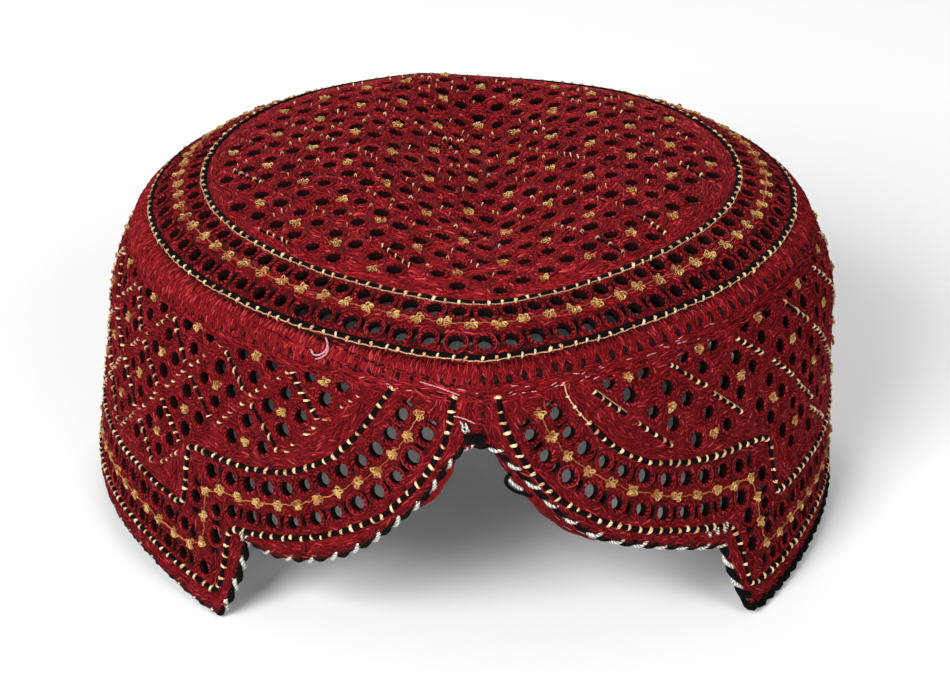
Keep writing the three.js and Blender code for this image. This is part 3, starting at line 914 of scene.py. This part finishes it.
def pierced_cloth(part, sheet, outline, inside, centres, radii, slots, node):
    rings = np.concatenate([holes_in(sheet, centres, radii + 0.12), slots_in(sheet, *slots)])
    cut = np.concatenate([centres, slots[0]])
    inside = inside[nearest_of(inside, cut)[0] > HOLE_RADIUS + 0.75]
    flat, faces = pattern_faces(outline, inside, rings)
    relief = ripple(flat)
    if sheet is band_sheet:
        relief[(flat[:, 0] < 1e-6) | (flat[:, 0] > L - 1e-6)] = 0
    soup = Soup()
    soup.add(*with_thickness(sheet, flat, faces, relief, 0.25))
    soup.build(part + "_cloth", cloth_material, part + "_cloth", (node,))


def inside_crown_edge(places, margin):
    """The places that lie inside the crown's edge by a share of its plan."""
    edge_share = np.interp(CROWN_EDGE, PROFILE_ALONG, PROFILE_SHARE)
    return places[crown_share(places[:, 0], places[:, 1]) < edge_share - margin]


def crown_cloth():
    edge = face(np.linspace(0, TAU, 361)[:-1], CROWN_EDGE)[:, :2]
    inside = inside_crown_edge(hex_grid((-90, -90), (90, 90), CLOTH_PITCH), 0.008)
    pierced_cloth("crown", crown_sheet, edge, inside, crown_eyelets, crown_hole_radii,
                  (crown_slots, crown_slot_turns), "crown")


def band_cloth():
    columns = np.concatenate([np.arange(0, L, 1.5), rope_places[:, 0][(rope_places[:, 1] > 1.3)] % L])
    columns = np.unique(np.round(columns / 0.35)) * 0.35
    columns = columns[columns < L - 0.2]
    lower = np.stack([columns, cloth_edge(columns)], -1)
    lower = np.concatenate([lower, [[L, lower[0, 1]]]])
    top_columns = np.linspace(L, 0, 360)
    upper = np.stack([top_columns, np.full(len(top_columns), BAND_TOP + 1.2)], -1)
    heights = np.linspace(lower[0, 1], BAND_TOP + 1.2, 8)[1:-1]
    right = np.stack([np.full(6, L), heights], -1)
    left = np.stack([np.zeros(6), heights[::-1]], -1)
    inside = hex_grid((1.0, 0), (L - 0.8, BAND_TOP + 0.6), CLOTH_PITCH)
    inside = inside[inside[:, 1] > cloth_edge(inside[:, 0]) + 0.9]
    pierced_cloth("band", band_sheet, np.concatenate([lower, right, upper, left]), inside, band_centres,
                  band_hole_radii, (band_slots, band_slot_turns), "side_band")


# Short closed stitches, thick in the middle: two tips and two three-cornered sections between them

STITCH_ALONG = np.array([-1, -0.45, -0.45, -0.45, 0.45, 0.45, 0.45, 1])
STITCH_ASIDE = np.array([0, 1, -1, 0, 1, -1, 0, 0])
STITCH_LIFT = np.array([-0.2, -0.1, -0.1, 1, -0.1, -0.1, 1, -0.2])
STITCH_FACES = np.array([(0, 3, 1), (0, 2, 3), (0, 1, 2), (7, 4, 6), (7, 6, 5), (7, 5, 4),
                         (1, 3, 6), (1, 6, 4), (3, 2, 5), (3, 5, 6), (2, 1, 4), (2, 4, 5)])


def stitches(soup, sheet, places, angles, lengths, widths, heights, tones):
    count = len(places)
    angles, lengths, widths, heights = (np.broadcast_to(value, count)[:, None]
                                        for value in (angles, lengths, widths, heights))
    along, aside, lift = STITCH_ALONG * lengths / 2, STITCH_ASIDE * widths / 2, STITCH_LIFT * heights
    points = sheet.lay(places, *turned(along, aside, angles), lift)
    flat = np.stack(np.broadcast_arrays(along, aside + 0.6 * lift, pattern_layers(count)), -1)
    tones = np.broadcast_to(np.reshape(tones, (-1, 1)), along.shape)
    soup.add(points, repeat_faces(STITCH_FACES, count, len(STITCH_ALONG)), flat, tones)


def red_tones(count, middle, spread):
    return np.clip(rng.normal(middle, spread, count), -0.7, 0.6)


# Buttonhole rings: stitches side by side round each eyelet, and a thread laid round them

SPOKES = 12
RING_WIDTH = 0.72


def eyelet_rings(name, sheet, centres, radii, slot):
    count = len(centres)
    soup = Soup()
    even = np.arange(SPOKES) / SPOKES * TAU
    turn = even + rng.uniform(0, TAU, (count, 1)) + rng.normal(0, 0.07, (count, SPOKES))
    middle = radii[:, None] + 0.1 + RING_WIDTH / 2
    places = sheet.places_near(centres, middle * np.cos(turn), middle * np.sin(turn)).reshape(-1, 2)
    total = count * SPOKES
    angles = turn.ravel() + rng.normal(0.8, 0.15, total)
    lengths, heights = rng.normal(1.35, 0.12, total), rng.normal(0.3, 0.05, total)
    stitches(soup, sheet, places, angles, lengths, 0.6, heights, red_tones(total, -0.05, 0.26))
    radius = radii[:, None] + RING_WIDTH + 0.2 + rng.normal(0, 0.05, (count, SPOKES))
    turn = even + rng.uniform(0, TAU, (count, 1))
    lift = 0.12 + rng.normal(0, 0.05, (count, SPOKES))
    paths = sheet.lay(centres, radius * np.cos(turn), radius * np.sin(turn), lift)
    tones = red_tones(count, -0.05, 0.3)
    tubes(soup, paths, sheet.normal(centres)[:, None], 0.17, 0.16, 3, True, tone=tones)
    soup.build(name, ring_material, slot)


# Floss: stitches that curve round the rings, and run along the plain strips between the patterns

FLOSS_PITCH = 1.06
BACK_FLOSS_PITCH = 1.22
CURVED_WITHIN = 3.3
# A share of the floss stitches painted far brighter: painted glints
PAINTED_GLINT_SHARE = 0.025
PAINTED_GLINT_TONE = -1.15


def floss(name, sheet, places, centres, slots, strip_direction, slot):
    away, which = nearest_of(places, centres)
    keep = (away > HOLE_RADIUS + RING_WIDTH + 0.25) & (slot_distance(places, *slots) > SLOT_HALF_WIDTH + 0.5)
    places, away, which = places[keep], away[keep], which[keep]
    places = places + rng.normal(0, 0.2, places.shape)
    offset = places - centres[which]
    around = np.arctan2(offset[:, 1], offset[:, 0]) + math.pi / 2
    count = len(places)
    angles = np.where(away < CURVED_WITHIN, around, strip_direction(places)) + rng.normal(0, 0.3, count)
    tones = red_tones(count, 0.02, 0.3)
    # Painted glints on a few stitches
    tones[rng.random(count) < PAINTED_GLINT_SHARE] = PAINTED_GLINT_TONE
    lengths = np.where(away < CURVED_WITHIN, rng.uniform(1.5, 2.4, count), rng.uniform(2.0, 3.6, count))
    soup = Soup()
    widths, heights = rng.uniform(0.4, 0.62, count), rng.uniform(0.22, 0.4, count)
    stitches(soup, sheet, places, angles, lengths, widths, heights, tones)
    # Painted light and shade: the crown's stitches take the lighter copy of the floss, the band's the darker
    soup.build(name, crown_floss_lit_material if sheet is crown_sheet else band_floss_shaded_material, slot)


def crown_floss():
    grid = inside_crown_edge(hex_grid((-90, -90), (90, 95), FLOSS_PITCH), 0.004)
    floss("crown_floss", crown_sheet, grid, crown_eyelets, (crown_slots, crown_slot_turns),
          lambda places: np.arctan2(places[:, 1], places[:, 0]) + math.pi / 2, "crown_cloth")


def line_direction(line, places):
    """Direction of the nearest span of a line of places."""
    middles = (line[:-1] + line[1:]) / 2
    spans = np.diff(line, axis=0)
    which = nearest_of(places, middles)[1]
    return np.arctan2(spans[which, 1], spans[which, 0])


def band_floss():
    lines = np.concatenate([inner_line, outer_line])

    def direction(places):
        near = nearest_of(places, lines)[0] < 6
        return np.where(near, line_direction(lines, places), 0.0)

    for name, pitch in (("band_floss_front", FLOSS_PITCH), ("band_floss_back", BACK_FLOSS_PITCH)):
        grid = hex_grid((0.6, 1.5), (L - 0.6, BAND_TOP), pitch)
        is_front = np.minimum(grid[:, 0], L - grid[:, 0]) < L / 4
        grid = grid[(grid[:, 1] > cloth_edge(grid[:, 0]) + 0.7) & (is_front == name.endswith("front"))]
        floss(name, band_sheet, grid, band_centres, (band_slots, band_slot_turns), direction, "band_cloth")


# Gold knots

KNOT_LOOPS = 6


def gold_knots(soup, base, sheet, centres, size):
    """Loops of gold thread round each centre, over a few fat orange stitches."""
    count = len(centres)
    steps = 7
    turn = np.arange(steps) / steps * TAU
    for k in range(KNOT_LOOPS):
        lean = TAU * k / KNOT_LOOPS + rng.normal(0, 0.25, (count, 1)) + rng.uniform(0, 0.7)
        far = size * rng.uniform(0.3, 0.56, (count, 1))
        long = size * rng.uniform(0.38, 0.56, (count, 1))
        short = size * rng.uniform(0.2, 0.34, (count, 1))
        x = far + long * np.cos(turn)
        y = short * np.sin(turn)
        across, up = turned(x, y, lean)
        wave = 0.24 * rng.uniform(0.4, 1, (count, 1)) * np.sin(turn * 2 + k)
        height = 0.62 + wave + 0.14 * rng.normal(size=(count, 1))
        paths = sheet.lay(centres, across, up * 0.85, np.maximum(height, 0.32))
        tones = rng.uniform(-0.9, 1.0, count)
        tubes(soup, paths, sheet.normal(centres)[:, None], 0.23, 0.17, 3, True, tone=tones)
    for k in range(3):
        stitches(base, sheet, centres + rng.normal(0, 0.3, centres.shape), k + rng.normal(0, 0.3, count),
                 size * 1.3, size * 0.7, 0.45, rng.uniform(-0.4, 0.9, count))


def thread(soup, sheet, corners, lift, radius, sides=4):
    """One loose thread along a few places."""
    points, normal = sheet.raised(sheet.walk(rounded(corners), 0.6), lift)
    tubes(soup, points[None], normal[None], radius, radius, sides)


LONGEST_LINK = 9.0


def links(soup, sheet, places, closed):
    """Thin threads that run from each knot to the next."""
    following = np.roll(places, -1, 0)
    if not closed:
        places, following = places[:-1], following[:-1]
    near = np.linalg.norm(following - places, axis=1) < LONGEST_LINK
    places, following = places[near], following[near]
    share = np.linspace(0.1, 0.9, 6)[:, None]
    route = places[:, None] * (1 - share) + following[:, None] * share
    route = route + rng.normal(0, 0.14, route.shape)
    tubes(soup, *sheet.raised(route, 0.5), 0.17, 0.17, 3, tone=rng.uniform(-0.8, 0.6, len(route)))


# Black couching with gold bars across it

def couching(sheet, line, spacing, closed, cords, bars, thin=None, aside_shift=0.0):
    walked = sheet.walk(line, 0.8, closed)
    points, normal = sheet.raised(walked, 0.3)
    tubes(cords, points[None], normal[None], 0.62, 0.44, 5, closed)
    gold_bars(sheet, sheet.walk(line, spacing, closed), closed, bars, 0.74 + 0.4 * aside_shift, aside_shift)
    if thin:
        steps = np.arange(len(walked))
        reach = 0.72 + 0.1 * np.sin(steps * 1.9) + 0.1 * np.sin(steps * 0.37)
        path = points - sheet.directions(walked, closed)[1] * reach[:, None]
        tubes(thin, path[None], normal[None], 0.15, 0.15, 4, closed)


def gold_bars(sheet, places, closed, bars, half_length, shift=0.0, slant=0.25, width=0.34):
    ahead, aside, normal = sheet.directions(places, closed)
    count = len(places)
    across = np.array([-1, -0.5, 0.1, 0.6, 1])
    lift = np.array([0.05, 0.62, 0.8, 0.62, 0.05])
    tilt = rng.normal(slant, 0.25, (count, 1, 1))
    length = half_length * rng.uniform(0.7, 1.2, (count, 1, 1))
    start = sheet.point(places)[:, None] + aside[:, None] * (shift + rng.normal(0, 0.1, (count, 1, 1)))
    start = start + ahead[:, None] * rng.normal(0, 0.18, (count, 1, 1))
    reach = across[:, None] * length
    rise = lift * rng.uniform(0.85, 1.15, (count, 1))
    paths = start + aside[:, None] * reach + ahead[:, None] * reach * tilt + normal[:, None] * rise[..., None]
    wide = width * rng.uniform(0.7, 1.35, (count, 1))
    tones = rng.uniform(-1, 0.8, count)
    tubes(bars, paths, normal[:, None], wide, 0.22, 4, taper=(0.5, 1, 1.1, 1, 0.5), tone=tones)


def dashes(sheet, centres, directions, length, bars, cords, bar_length, kept, cord_width=0.42, thin=None):
    """Short runs of couching on the lattice; without a black cord only its loose bits of thread show."""
    for centre, direction in zip(centres, directions):
        half = direction / np.linalg.norm(direction) * length * rng.uniform(0.42, 0.52)
        line = np.array([centre - half, centre + half]) + rng.normal(0, 0.2, (2, 2))
        if cords:
            walked = sheet.walk(line, 1.3)
            points, normal = sheet.raised(walked, 0.22)
            tubes(cords, points[None], normal[None], cord_width, cord_width * 0.75, 5)
            if thin and centre[0] < L / 2 and rng.random() < 0.6:
                path = points + sheet.directions(walked)[1] * 0.6
                tubes(thin, path[None], normal[None], 0.15, 0.15, 3)
        at = sheet.walk(line, 2.25)
        at = at[rng.random(len(at)) < kept]
        if len(at) > 1:
            slant = rng.choice([-0.9, -0.3, 0.5])
            gold_bars(sheet, at, False, bars, bar_length, slant=slant, width=bar_length * 0.45)


# Build the pieces
crown_cloth()
band_cloth()
crown_floss()
band_floss()
for part, sheet, eyelets, radii, split in (
        ("crown", crown_sheet, crown_eyelets, crown_hole_radii, len(field_eyelets)),
        ("band", band_sheet, band_eyelets, band_hole_radii, len(lattice_eyelets))):
    inner_name = {"crown": "_field_rings", "band": "_lattice_rings"}[part]
    eyelet_rings(part + inner_name, sheet, eyelets[:split], radii[:split], part + "_cloth")
    eyelet_rings(part + "_border_rings", sheet, eyelets[split:], radii[split:], part + "_cloth")

for part, sheet, flowers, border, border_size in (("crown", crown_sheet, crown_flowers, border_flowers, 1.6),
                                                  ("band", band_sheet, band_flowers, line_flowers, 1.5)):
    knots, orange = Soup(), Soup()
    gold_knots(knots, orange, sheet, shaken(flowers, 0.2), 1.4)
    gold_knots(knots, orange, sheet, shaken(border, 0.15), border_size)
    links(orange, sheet, border, closed=part == "crown")
    knots.build(part + "_gold_knots", gold_material, part + "_cloth")
    orange.build(part + "_orange_threads", orange_material, part + "_cloth")


def build_couching(part, cords, bars, thin):
    cords.build(part + "_black_couching", black_material, part + "_cloth")
    bars.build(part + "_gold_bars", cream_material, part + "_cloth")
    thin.build(part + "_gold_threads", cream_material, part + "_cloth")


crown_cords, crown_bars, crown_thin = Soup(), Soup(), Soup()
for ring_share in (INNER_RING, OUTER_RING):
    couching(crown_sheet, ring_places(ring_share, 240, 0), BAR_SPACING_CROWN, True, crown_cords, crown_bars,
             crown_thin, -0.36)


def room_at_ends(mids, run):
    return np.minimum(crown_room(mids + run * 0.4), crown_room(mids - run * 0.4))


mids = crown_lattice(node_i + 0.5, node_j + 0.5)
run = crown_lattice(node_i + 1, node_j) - crown_lattice(node_i, node_j + 1)
ends_room = room_at_ends(mids, run)
near_edge = (ends_room > 2) & (crown_room(mids) < 15) & (mids[:, 1] < 0)
in_field = (ends_room > 2) & ~near_edge
dashes(crown_sheet, mids[near_edge], run[near_edge], 9.0, crown_bars, crown_cords, 0.45, 0.8, 0.34)
dashes(crown_sheet, mids[in_field], run[in_field], 8.0, crown_bars, None, 0.34, 0.6)
lenses = np.concatenate([mids[in_field] + rng.uniform(-0.35, 0.35, (in_field.sum(), 1)) * run[in_field]
                         for _ in range(2)])
lens_turns = np.arctan2(run[0, 1], run[0, 0]) + rng.normal(0, 0.25, len(lenses))
stitches(crown_cords, crown_sheet, lenses, lens_turns, rng.uniform(1.6, 2.8, len(lenses)), 0.75, 0.36, 0.0)
cross_run = crown_lattice(node_i + 1, node_j + 1) - crown_lattice(node_i, node_j)
cross_mids = crown_lattice(node_i + 1.5, node_j + 0.5)
has_room = room_at_ends(cross_mids, cross_run) > 2
dashes(crown_sheet, cross_mids[has_room], cross_run[has_room], 7.5, crown_bars, None, 0.3, 0.4)
build_couching("crown", crown_cords, crown_bars, crown_thin)

band_cords, band_bars, band_thin = Soup(), Soup(), Soup()
bare_start = inner_line[inner_line[:, 0] < 25]
for line in (inner_line[len(bare_start) - 1:], outer_line):
    couching(band_sheet, line, BAR_SPACING_BAND, False, band_cords, band_bars)
thread(band_thin, band_sheet, bare_start, 0.5, 0.17)
gold_bars(band_sheet, band_sheet.walk(bare_start, BAR_SPACING_BAND), False, band_bars, 0.4)


def band_dashes(sign, least_length, cords, bar_length, kept):
    """The runs of couching that lean one way, from a length round the band on."""
    mids = band_offset(band_pattern_nodes, sign * BAND_PITCH_U / 4, BAND_ROWS[0] / 2 - BAND_ROWS[1] / 2)
    run = np.array([sign * BAND_PITCH_U / 2, BAND_ROWS[1] - BAND_ROWS[0]])
    fits = np.mod(mids[:, 0], L) > least_length
    for end in (mids + run * 0.42, mids - run * 0.42):
        fits &= is_above(inner_line, end) & (distance_to(inner_line, end) > 1.8) & (end[:, 1] < 60.5)
    chosen = mids[fits]
    dashes(band_sheet, chosen, np.broadcast_to(run, chosen.shape), 10.4, band_bars, cords, bar_length, kept,
           thin=band_thin)


band_dashes(1, -1, band_cords, 0.58, 0.95)
band_dashes(-1, L / 2, None, 0.45, 0.75)
build_couching("band", band_cords, band_bars, band_thin)


# The padded seam and its satin stitches

SEAM_HOLE_PITCH = 3.65
SEAM_PARTING = [(-90, 60.6), (-60, 61.6), (-20, 62.6), (-6, 63.2), (10, 63.6), (90, 63.4), (130, 60.6)]
# Folds of the seam, each with the share of its stitches painted black as shade in the crease
SEAM_FOLDS = (([(-80, 67.5), (-50, 67.5), (-29, 67.4)], 0.9),
              ([(-50, 67.6), (-43, 67.0), (-28.5, 64.9), (-14, 63.9), (-6, 62.7)], 0.95),
              ([(-62, 65.8), (-40, 63.6), (-22, 62.0), (-9, 60.7)], 0.6))


def seam_point(place):
    from_edge = np.minimum(place[..., 1] - SEAM_FOOT, SEAM_TOP - place[..., 1])
    rise = np.interp(from_edge, [-0.4, 0.7, 1.8], [0, 0.35, 0.64])
    return band_point(place) + band_normal(place) * rise[..., None]


seam_sheet = Sheet(seam_point, band_normal)


def seam():
    columns = 720
    angles = -math.pi / 2 + np.arange(columns) / columns * TAU
    section = ((0, -0.2), (0.12, 0.35), (0.3, 0.62), (0.5, 0.7), (0.7, 0.62), (0.88, 0.35), (1, -0.2),
               (1, -CLOTH), (0.5, -CLOTH), (0, -CLOTH))
    along = np.array([SEAM_TOP + 0.2 + (SEAM_FOOT - SEAM_TOP - 0.4) * s for s, _ in section])
    height = np.array([h for _, h in section])
    grid_angles, grid_along = np.broadcast_arrays(angles[:, None], along[None])
    normals = face_normal(grid_angles, grid_along)
    points = face(grid_angles, grid_along) + normals * height[None, :, None]
    flat = np.stack(np.broadcast_arrays(angles[:, None] * 75, along[None], 0.0), -1)
    soup = Soup()
    soup.add(points, grid_faces(columns, len(section), True, flip=True), flat)
    soup.build("seam_roll_cloth", seam_material, "seam_stitching", ("seam_roll",))

    places = hex_grid((0, SEAM_FOOT - 1.3), (L, SEAM_TOP + 0.95), 0.88)
    places = places + rng.normal(0, 0.2, places.shape)
    count = len(places)
    signed = signed_length(places[:, 0])
    height = places[:, 1]
    is_right = signed > 0
    parting = np.interp(signed, *np.array(SEAM_PARTING).T)
    is_upper = height > parting
    phase = np.mod(signed / SEAM_HOLE_PITCH, 1)
    from_hole = np.minimum(phase, 1 - phase) * SEAM_HOLE_PITCH
    fan = np.where(is_right, (0.5 - phase) * 0.9, 0.0)
    angles = np.where(is_upper, math.pi / 2 + fan, np.where(is_right, 0.04, -0.06))
    angles = angles + rng.normal(0, 0.17, count)
    # The upper stitches on the left half are painted a little lighter than the rest: painted light on the
    # side the key lamp lights
    tones = np.clip(rng.normal(np.where(is_upper & ~is_right, -0.05, 0.1), 0.34, count), -0.9, 0.6)
    heights = rng.uniform(0.26, 0.46, count)
    above = height - parting
    # Where the seam's holes open, stitches are painted black: painted shade standing for the holes
    is_hole_shade = (from_hole < 0.8 * (1 - above / 2.4)) & (above > -0.25) & (above < 2.2)
    is_hole_shade &= is_right | (np.mod(np.floor(signed / SEAM_HOLE_PITCH), 3) == 0)
    # Along each fold the stitches are painted black, painted shade in the crease, and beside it painted
    # lighter, painted highlight on the ridges
    for fold, strength in SEAM_FOLDS:
        away = distance_to(np.array(fold), places)
        near_fold = away < 0.42
        is_hole_shade |= near_fold & (rng.random(count) < strength)
        angles[near_fold] = line_direction(np.array(fold), places[near_fold])
        tones[(away > 0.42) & (away < 1.3)] -= 0.3
    tones[is_hole_shade] = 0.96
    heights[is_hole_shade] = 0.14
    tones[height > SEAM_TOP + 0.35] = 0.5
    lengths = np.where(is_upper, rng.uniform(1.6, 3.0, count), rng.uniform(2.2, 4.2, count))
    lengths[is_hole_shade] = 1.5
    soup = Soup()
    stitches(soup, seam_sheet, places, angles, lengths, rng.uniform(0.36, 0.58, count), heights, tones)
    # Flat black stitches over each hole of the seam: painted shade
    hole_shade_lengths = np.arange(-22, 34) * SEAM_HOLE_PITCH
    size = np.where(hole_shade_lengths > -1, 1.0, 0.55)
    hole_shade_places = np.stack([hole_shade_lengths, np.interp(hole_shade_lengths, *np.array(SEAM_PARTING).T) + 0.85], -1)
    hole_shade_places = hole_shade_places + rng.normal(0, 0.2, hole_shade_places.shape)
    angles = math.pi / 2 + rng.normal(0, 0.25, len(size))
    stitches(soup, seam_sheet, hole_shade_places, angles, 2.5 * size, 1.55 * size, 0.42 + 0.16 * size, 0.97)
    soup.build("seam_satin_stitches", seam_material, "seam_stitching")


seam()

# Loose threads of the seam, the notch and the two corners of the front opening
pink, silver, notch_black = Soup(), Soup(), Soup()
pink_count = 34
pink_places = np.stack([rng.uniform(-32, 62, pink_count), rng.uniform(60.6, 63.0, pink_count)], -1)
pink_turns = rng.normal(0.05, 0.2, pink_count)
stitches(pink, seam_sheet, pink_places, pink_turns, rng.uniform(0.9, 2.4, pink_count), 0.32, 0.62, 0.0)
thread(pink, seam_sheet, [(-42.6, 67.6), (-41.2, 66.4), (-41, 65), (-42.2, 63.9), (-44, 63.3), (-45.2, 64.4)],
       0.75, 0.24)
thread(pink, seam_sheet, [(-41.6, 66.6), (-40.4, 65.2), (-41.4, 63.6), (-43.4, 62.8)], 0.7, 0.2)
thread(pink, seam_sheet, [(-16, 62.9), (-11, 62.3), (-6, 61.2)], 0.6, 0.16)
thread(pink, band_sheet, [(-7.6, 57.0), (-5.4, 56.9), (-2.2, 55.9)], 0.6, 0.17)
thread(notch_black, band_sheet, [(-4.9, 52.3), (-2.2, 52.9), (0.5, 52.4)], -0.3, 1.25, sides=8)
thread(notch_black, band_sheet, [(6.6, 45), (5, 44), (5.2, 42.6), (7, 41.2), (10.2, 40)], -0.8, 0.4, sides=6)
thread(silver, band_sheet, [(5.9, 43.9), (6.6, 42.8), (8.4, 41.5)], -0.6, 0.42, sides=5)
for tack in ([(-5.9, 56.1), (-5, 55.3), (-5.6, 54.4), (-4.3, 54)], [(-4.6, 55.9), (-3.9, 54.8), (-4.8, 53.9)],
             [(-5.5, 55), (-4.4, 55.2), (-3.6, 54.2)]):
    thread(silver, band_sheet, tack, 0.75, 0.26)
tufts = np.array([(-60.8, 21.4), (-60.1, 21.7), (-59.3, 21.1), (-60.4, 20.6), (49.6, 21.6), (51.2, 22.3),
                  (52, 21.5), (54.2, 21), (55, 21.5)])
tuft_turns = math.pi / 2 + rng.normal(0, 0.3, len(tufts))
stitches(silver, band_sheet, tufts, tuft_turns, rng.uniform(1.6, 3.0, len(tufts)), 0.55, 0.95, 0.2)
pink.build("pink_stitches", pink_material, "seam_stitching")
silver.build("silver_stitches", silver_material, "band_cloth")
notch_black.build("notch_black_stitches", black_material, "edge_cord")


# The red hem that shows past the cord beside the notch

def hem(soup, low, high, reach):
    signed = signed_length(rope_places[:, 0])
    chosen = np.flatnonzero((signed > low) & (signed < high) & (rope_places[:, 1] > 20))
    chosen = chosen[np.argsort(signed[chosen])]
    line = band_sheet.walk(np.stack([signed[chosen], rope_places[chosen, 1]], -1)[::6], 0.9)
    ahead = unit(np.gradient(line, axis=0))
    aside = np.stack([ahead[:, 1], -ahead[:, 0]], -1)
    swell = np.sin(np.linspace(0.02, 0.98, len(line)) * math.pi) ** 0.7
    for share in (0.25, 0.6, 0.95):
        wander = 0.12 * np.sin(np.arange(len(line)) * 0.9 + 9 * share)
        places = line + aside * ((0.7 + reach * share) * swell + wander)[:, None]
        normal = band_normal(places)
        path = band_point(places) - normal * CLOTH * 0.55
        tubes(soup, path[None], normal[None], 0.42, 0.4, taper=swell, tone=rng.uniform(0.1, 0.5, 1))


hem_threads = Soup()
hem(hem_threads, 1, 25, 1.9)
hem(hem_threads, -19, -6, 1.0)
hem_threads.build("folded_hem", band_floss_shaded_material, "band_cloth")


# The twisted edging cord: a thick black strand and a thinner silver one

ROPE_LAY = 5.7
RIGHT_RIM_LAY = 3.75
ROPE_STRANDS = (("edge_cord_black", 0.74, 0.42, 0.0), ("edge_cord_silver", 0.52, 0.7, 0.5))


def rope():
    count = len(rope_middle)
    ahead = unit(np.roll(rope_middle, -1, 0) - np.roll(rope_middle, 1, 0))
    up = unit(np.cross(rope_out, ahead))
    out = np.cross(ahead, up)
    x, y, z = rope_middle.T
    tight = smooth((x - 20) / 25) * smooth((22 - y) / 18) * smooth((9 - z) / 5)
    turns = np.cumsum(1 / (ROPE_LAY + (RIGHT_RIM_LAY - ROPE_LAY) * tight))
    phase = turns / turns[-1] * round(rope_length / count * turns[-1]) * TAU
    for name, radius, offset, share in ROPE_STRANDS:
        is_black = name.endswith("black")
        at = phase + share * TAU
        reach = offset + ((0.66 if is_black else -0.15) - offset) * tight
        path = rope_middle + (reach * np.cos(at) + 0.75 * tight)[:, None] * out
        path += (reach * np.sin(at))[:, None] * up
        path[:, 2] = np.maximum(path[:, 2], radius + 0.1)
        thick = radius * (1 + (0.12 if is_black else -0.4) * tight)
        soup = Soup()
        tubes(soup, path[None], out[None], thick, thick, sides=8, closed=True)
        material = black_material if is_black else silver_material
        soup.build(name, material, "edge_cord", ("edge_cord",) if is_black else ())


rope()

# Stage: floor, light and camera
floor_mesh = bpy.data.meshes.new("floor")
FLOOR = 3.0
corners = [(x * FLOOR, y * FLOOR, 0) for x, y in ((-1, -1), (1, -1), (1, 1), (-1, 1))]
floor_mesh.from_pydata(corners, [], [(0, 1, 2, 3)])
floor_material = bpy.data.materials.new("pale_floor")
floor_material.use_nodes = True
floor_surface = floor_material.node_tree.nodes["Principled BSDF"].inputs
floor_surface["Base Color"].default_value = (0.9, 0.9, 0.9, 1)
floor_surface["Roughness"].default_value = 0.9
floor_mesh.materials.append(floor_material)
floor = placed("floor", floor_mesh)

world = bpy.data.worlds.new("studio")
world.use_nodes = True
sky = world.node_tree.nodes["Background"].inputs
sky["Color"].default_value = (1, 1, 1, 1)
sky["Strength"].default_value = 0.2
bpy.context.scene.world = world


LIGHT_AIM = Vector((0, 0, 0.04))


def area_light(name, place, power, size):
    light = bpy.data.lights.new(name, "AREA")
    light.energy = power
    light.size = size
    lamp = placed(name, light)
    lamp.location = place
    lamp.rotation_euler = (LIGHT_AIM - Vector(place)).to_track_quat("-Z", "Y").to_euler()


area_light("key", (-0.62, -0.84, 0.76), 19.0, 0.6)
area_light("fill", (0.6, -0.86, 0.72), 7.0, 0.6)
area_light("back", (0.0, 1.15, 1.0), 9.0, 0.8)

CAMERA_AIM = np.array([1.80, 0.0, 27.39]) + SHIFT
CAMERA_DISTANCE = 636.14
CAMERA_ELEVATION = math.radians(28.434)
CAMERA_AZIMUTH = math.radians(-3.137)
CAMERA_LENS = 103.64
back = Vector((math.sin(CAMERA_AZIMUTH) * math.cos(CAMERA_ELEVATION),
               -math.cos(CAMERA_AZIMUTH) * math.cos(CAMERA_ELEVATION), math.sin(CAMERA_ELEVATION)))
camera = placed("camera", bpy.data.cameras.new("camera"))
camera.data.sensor_width = 36
camera.data.lens = CAMERA_LENS
camera.location = Vector(CAMERA_AIM * MM) + back * CAMERA_DISTANCE * MM
camera.rotation_euler = (-back).to_track_quat("-Z", "Y").to_euler()
bpy.context.scene.camera = camera
bpy.context.scene.view_settings.view_transform = "Standard"
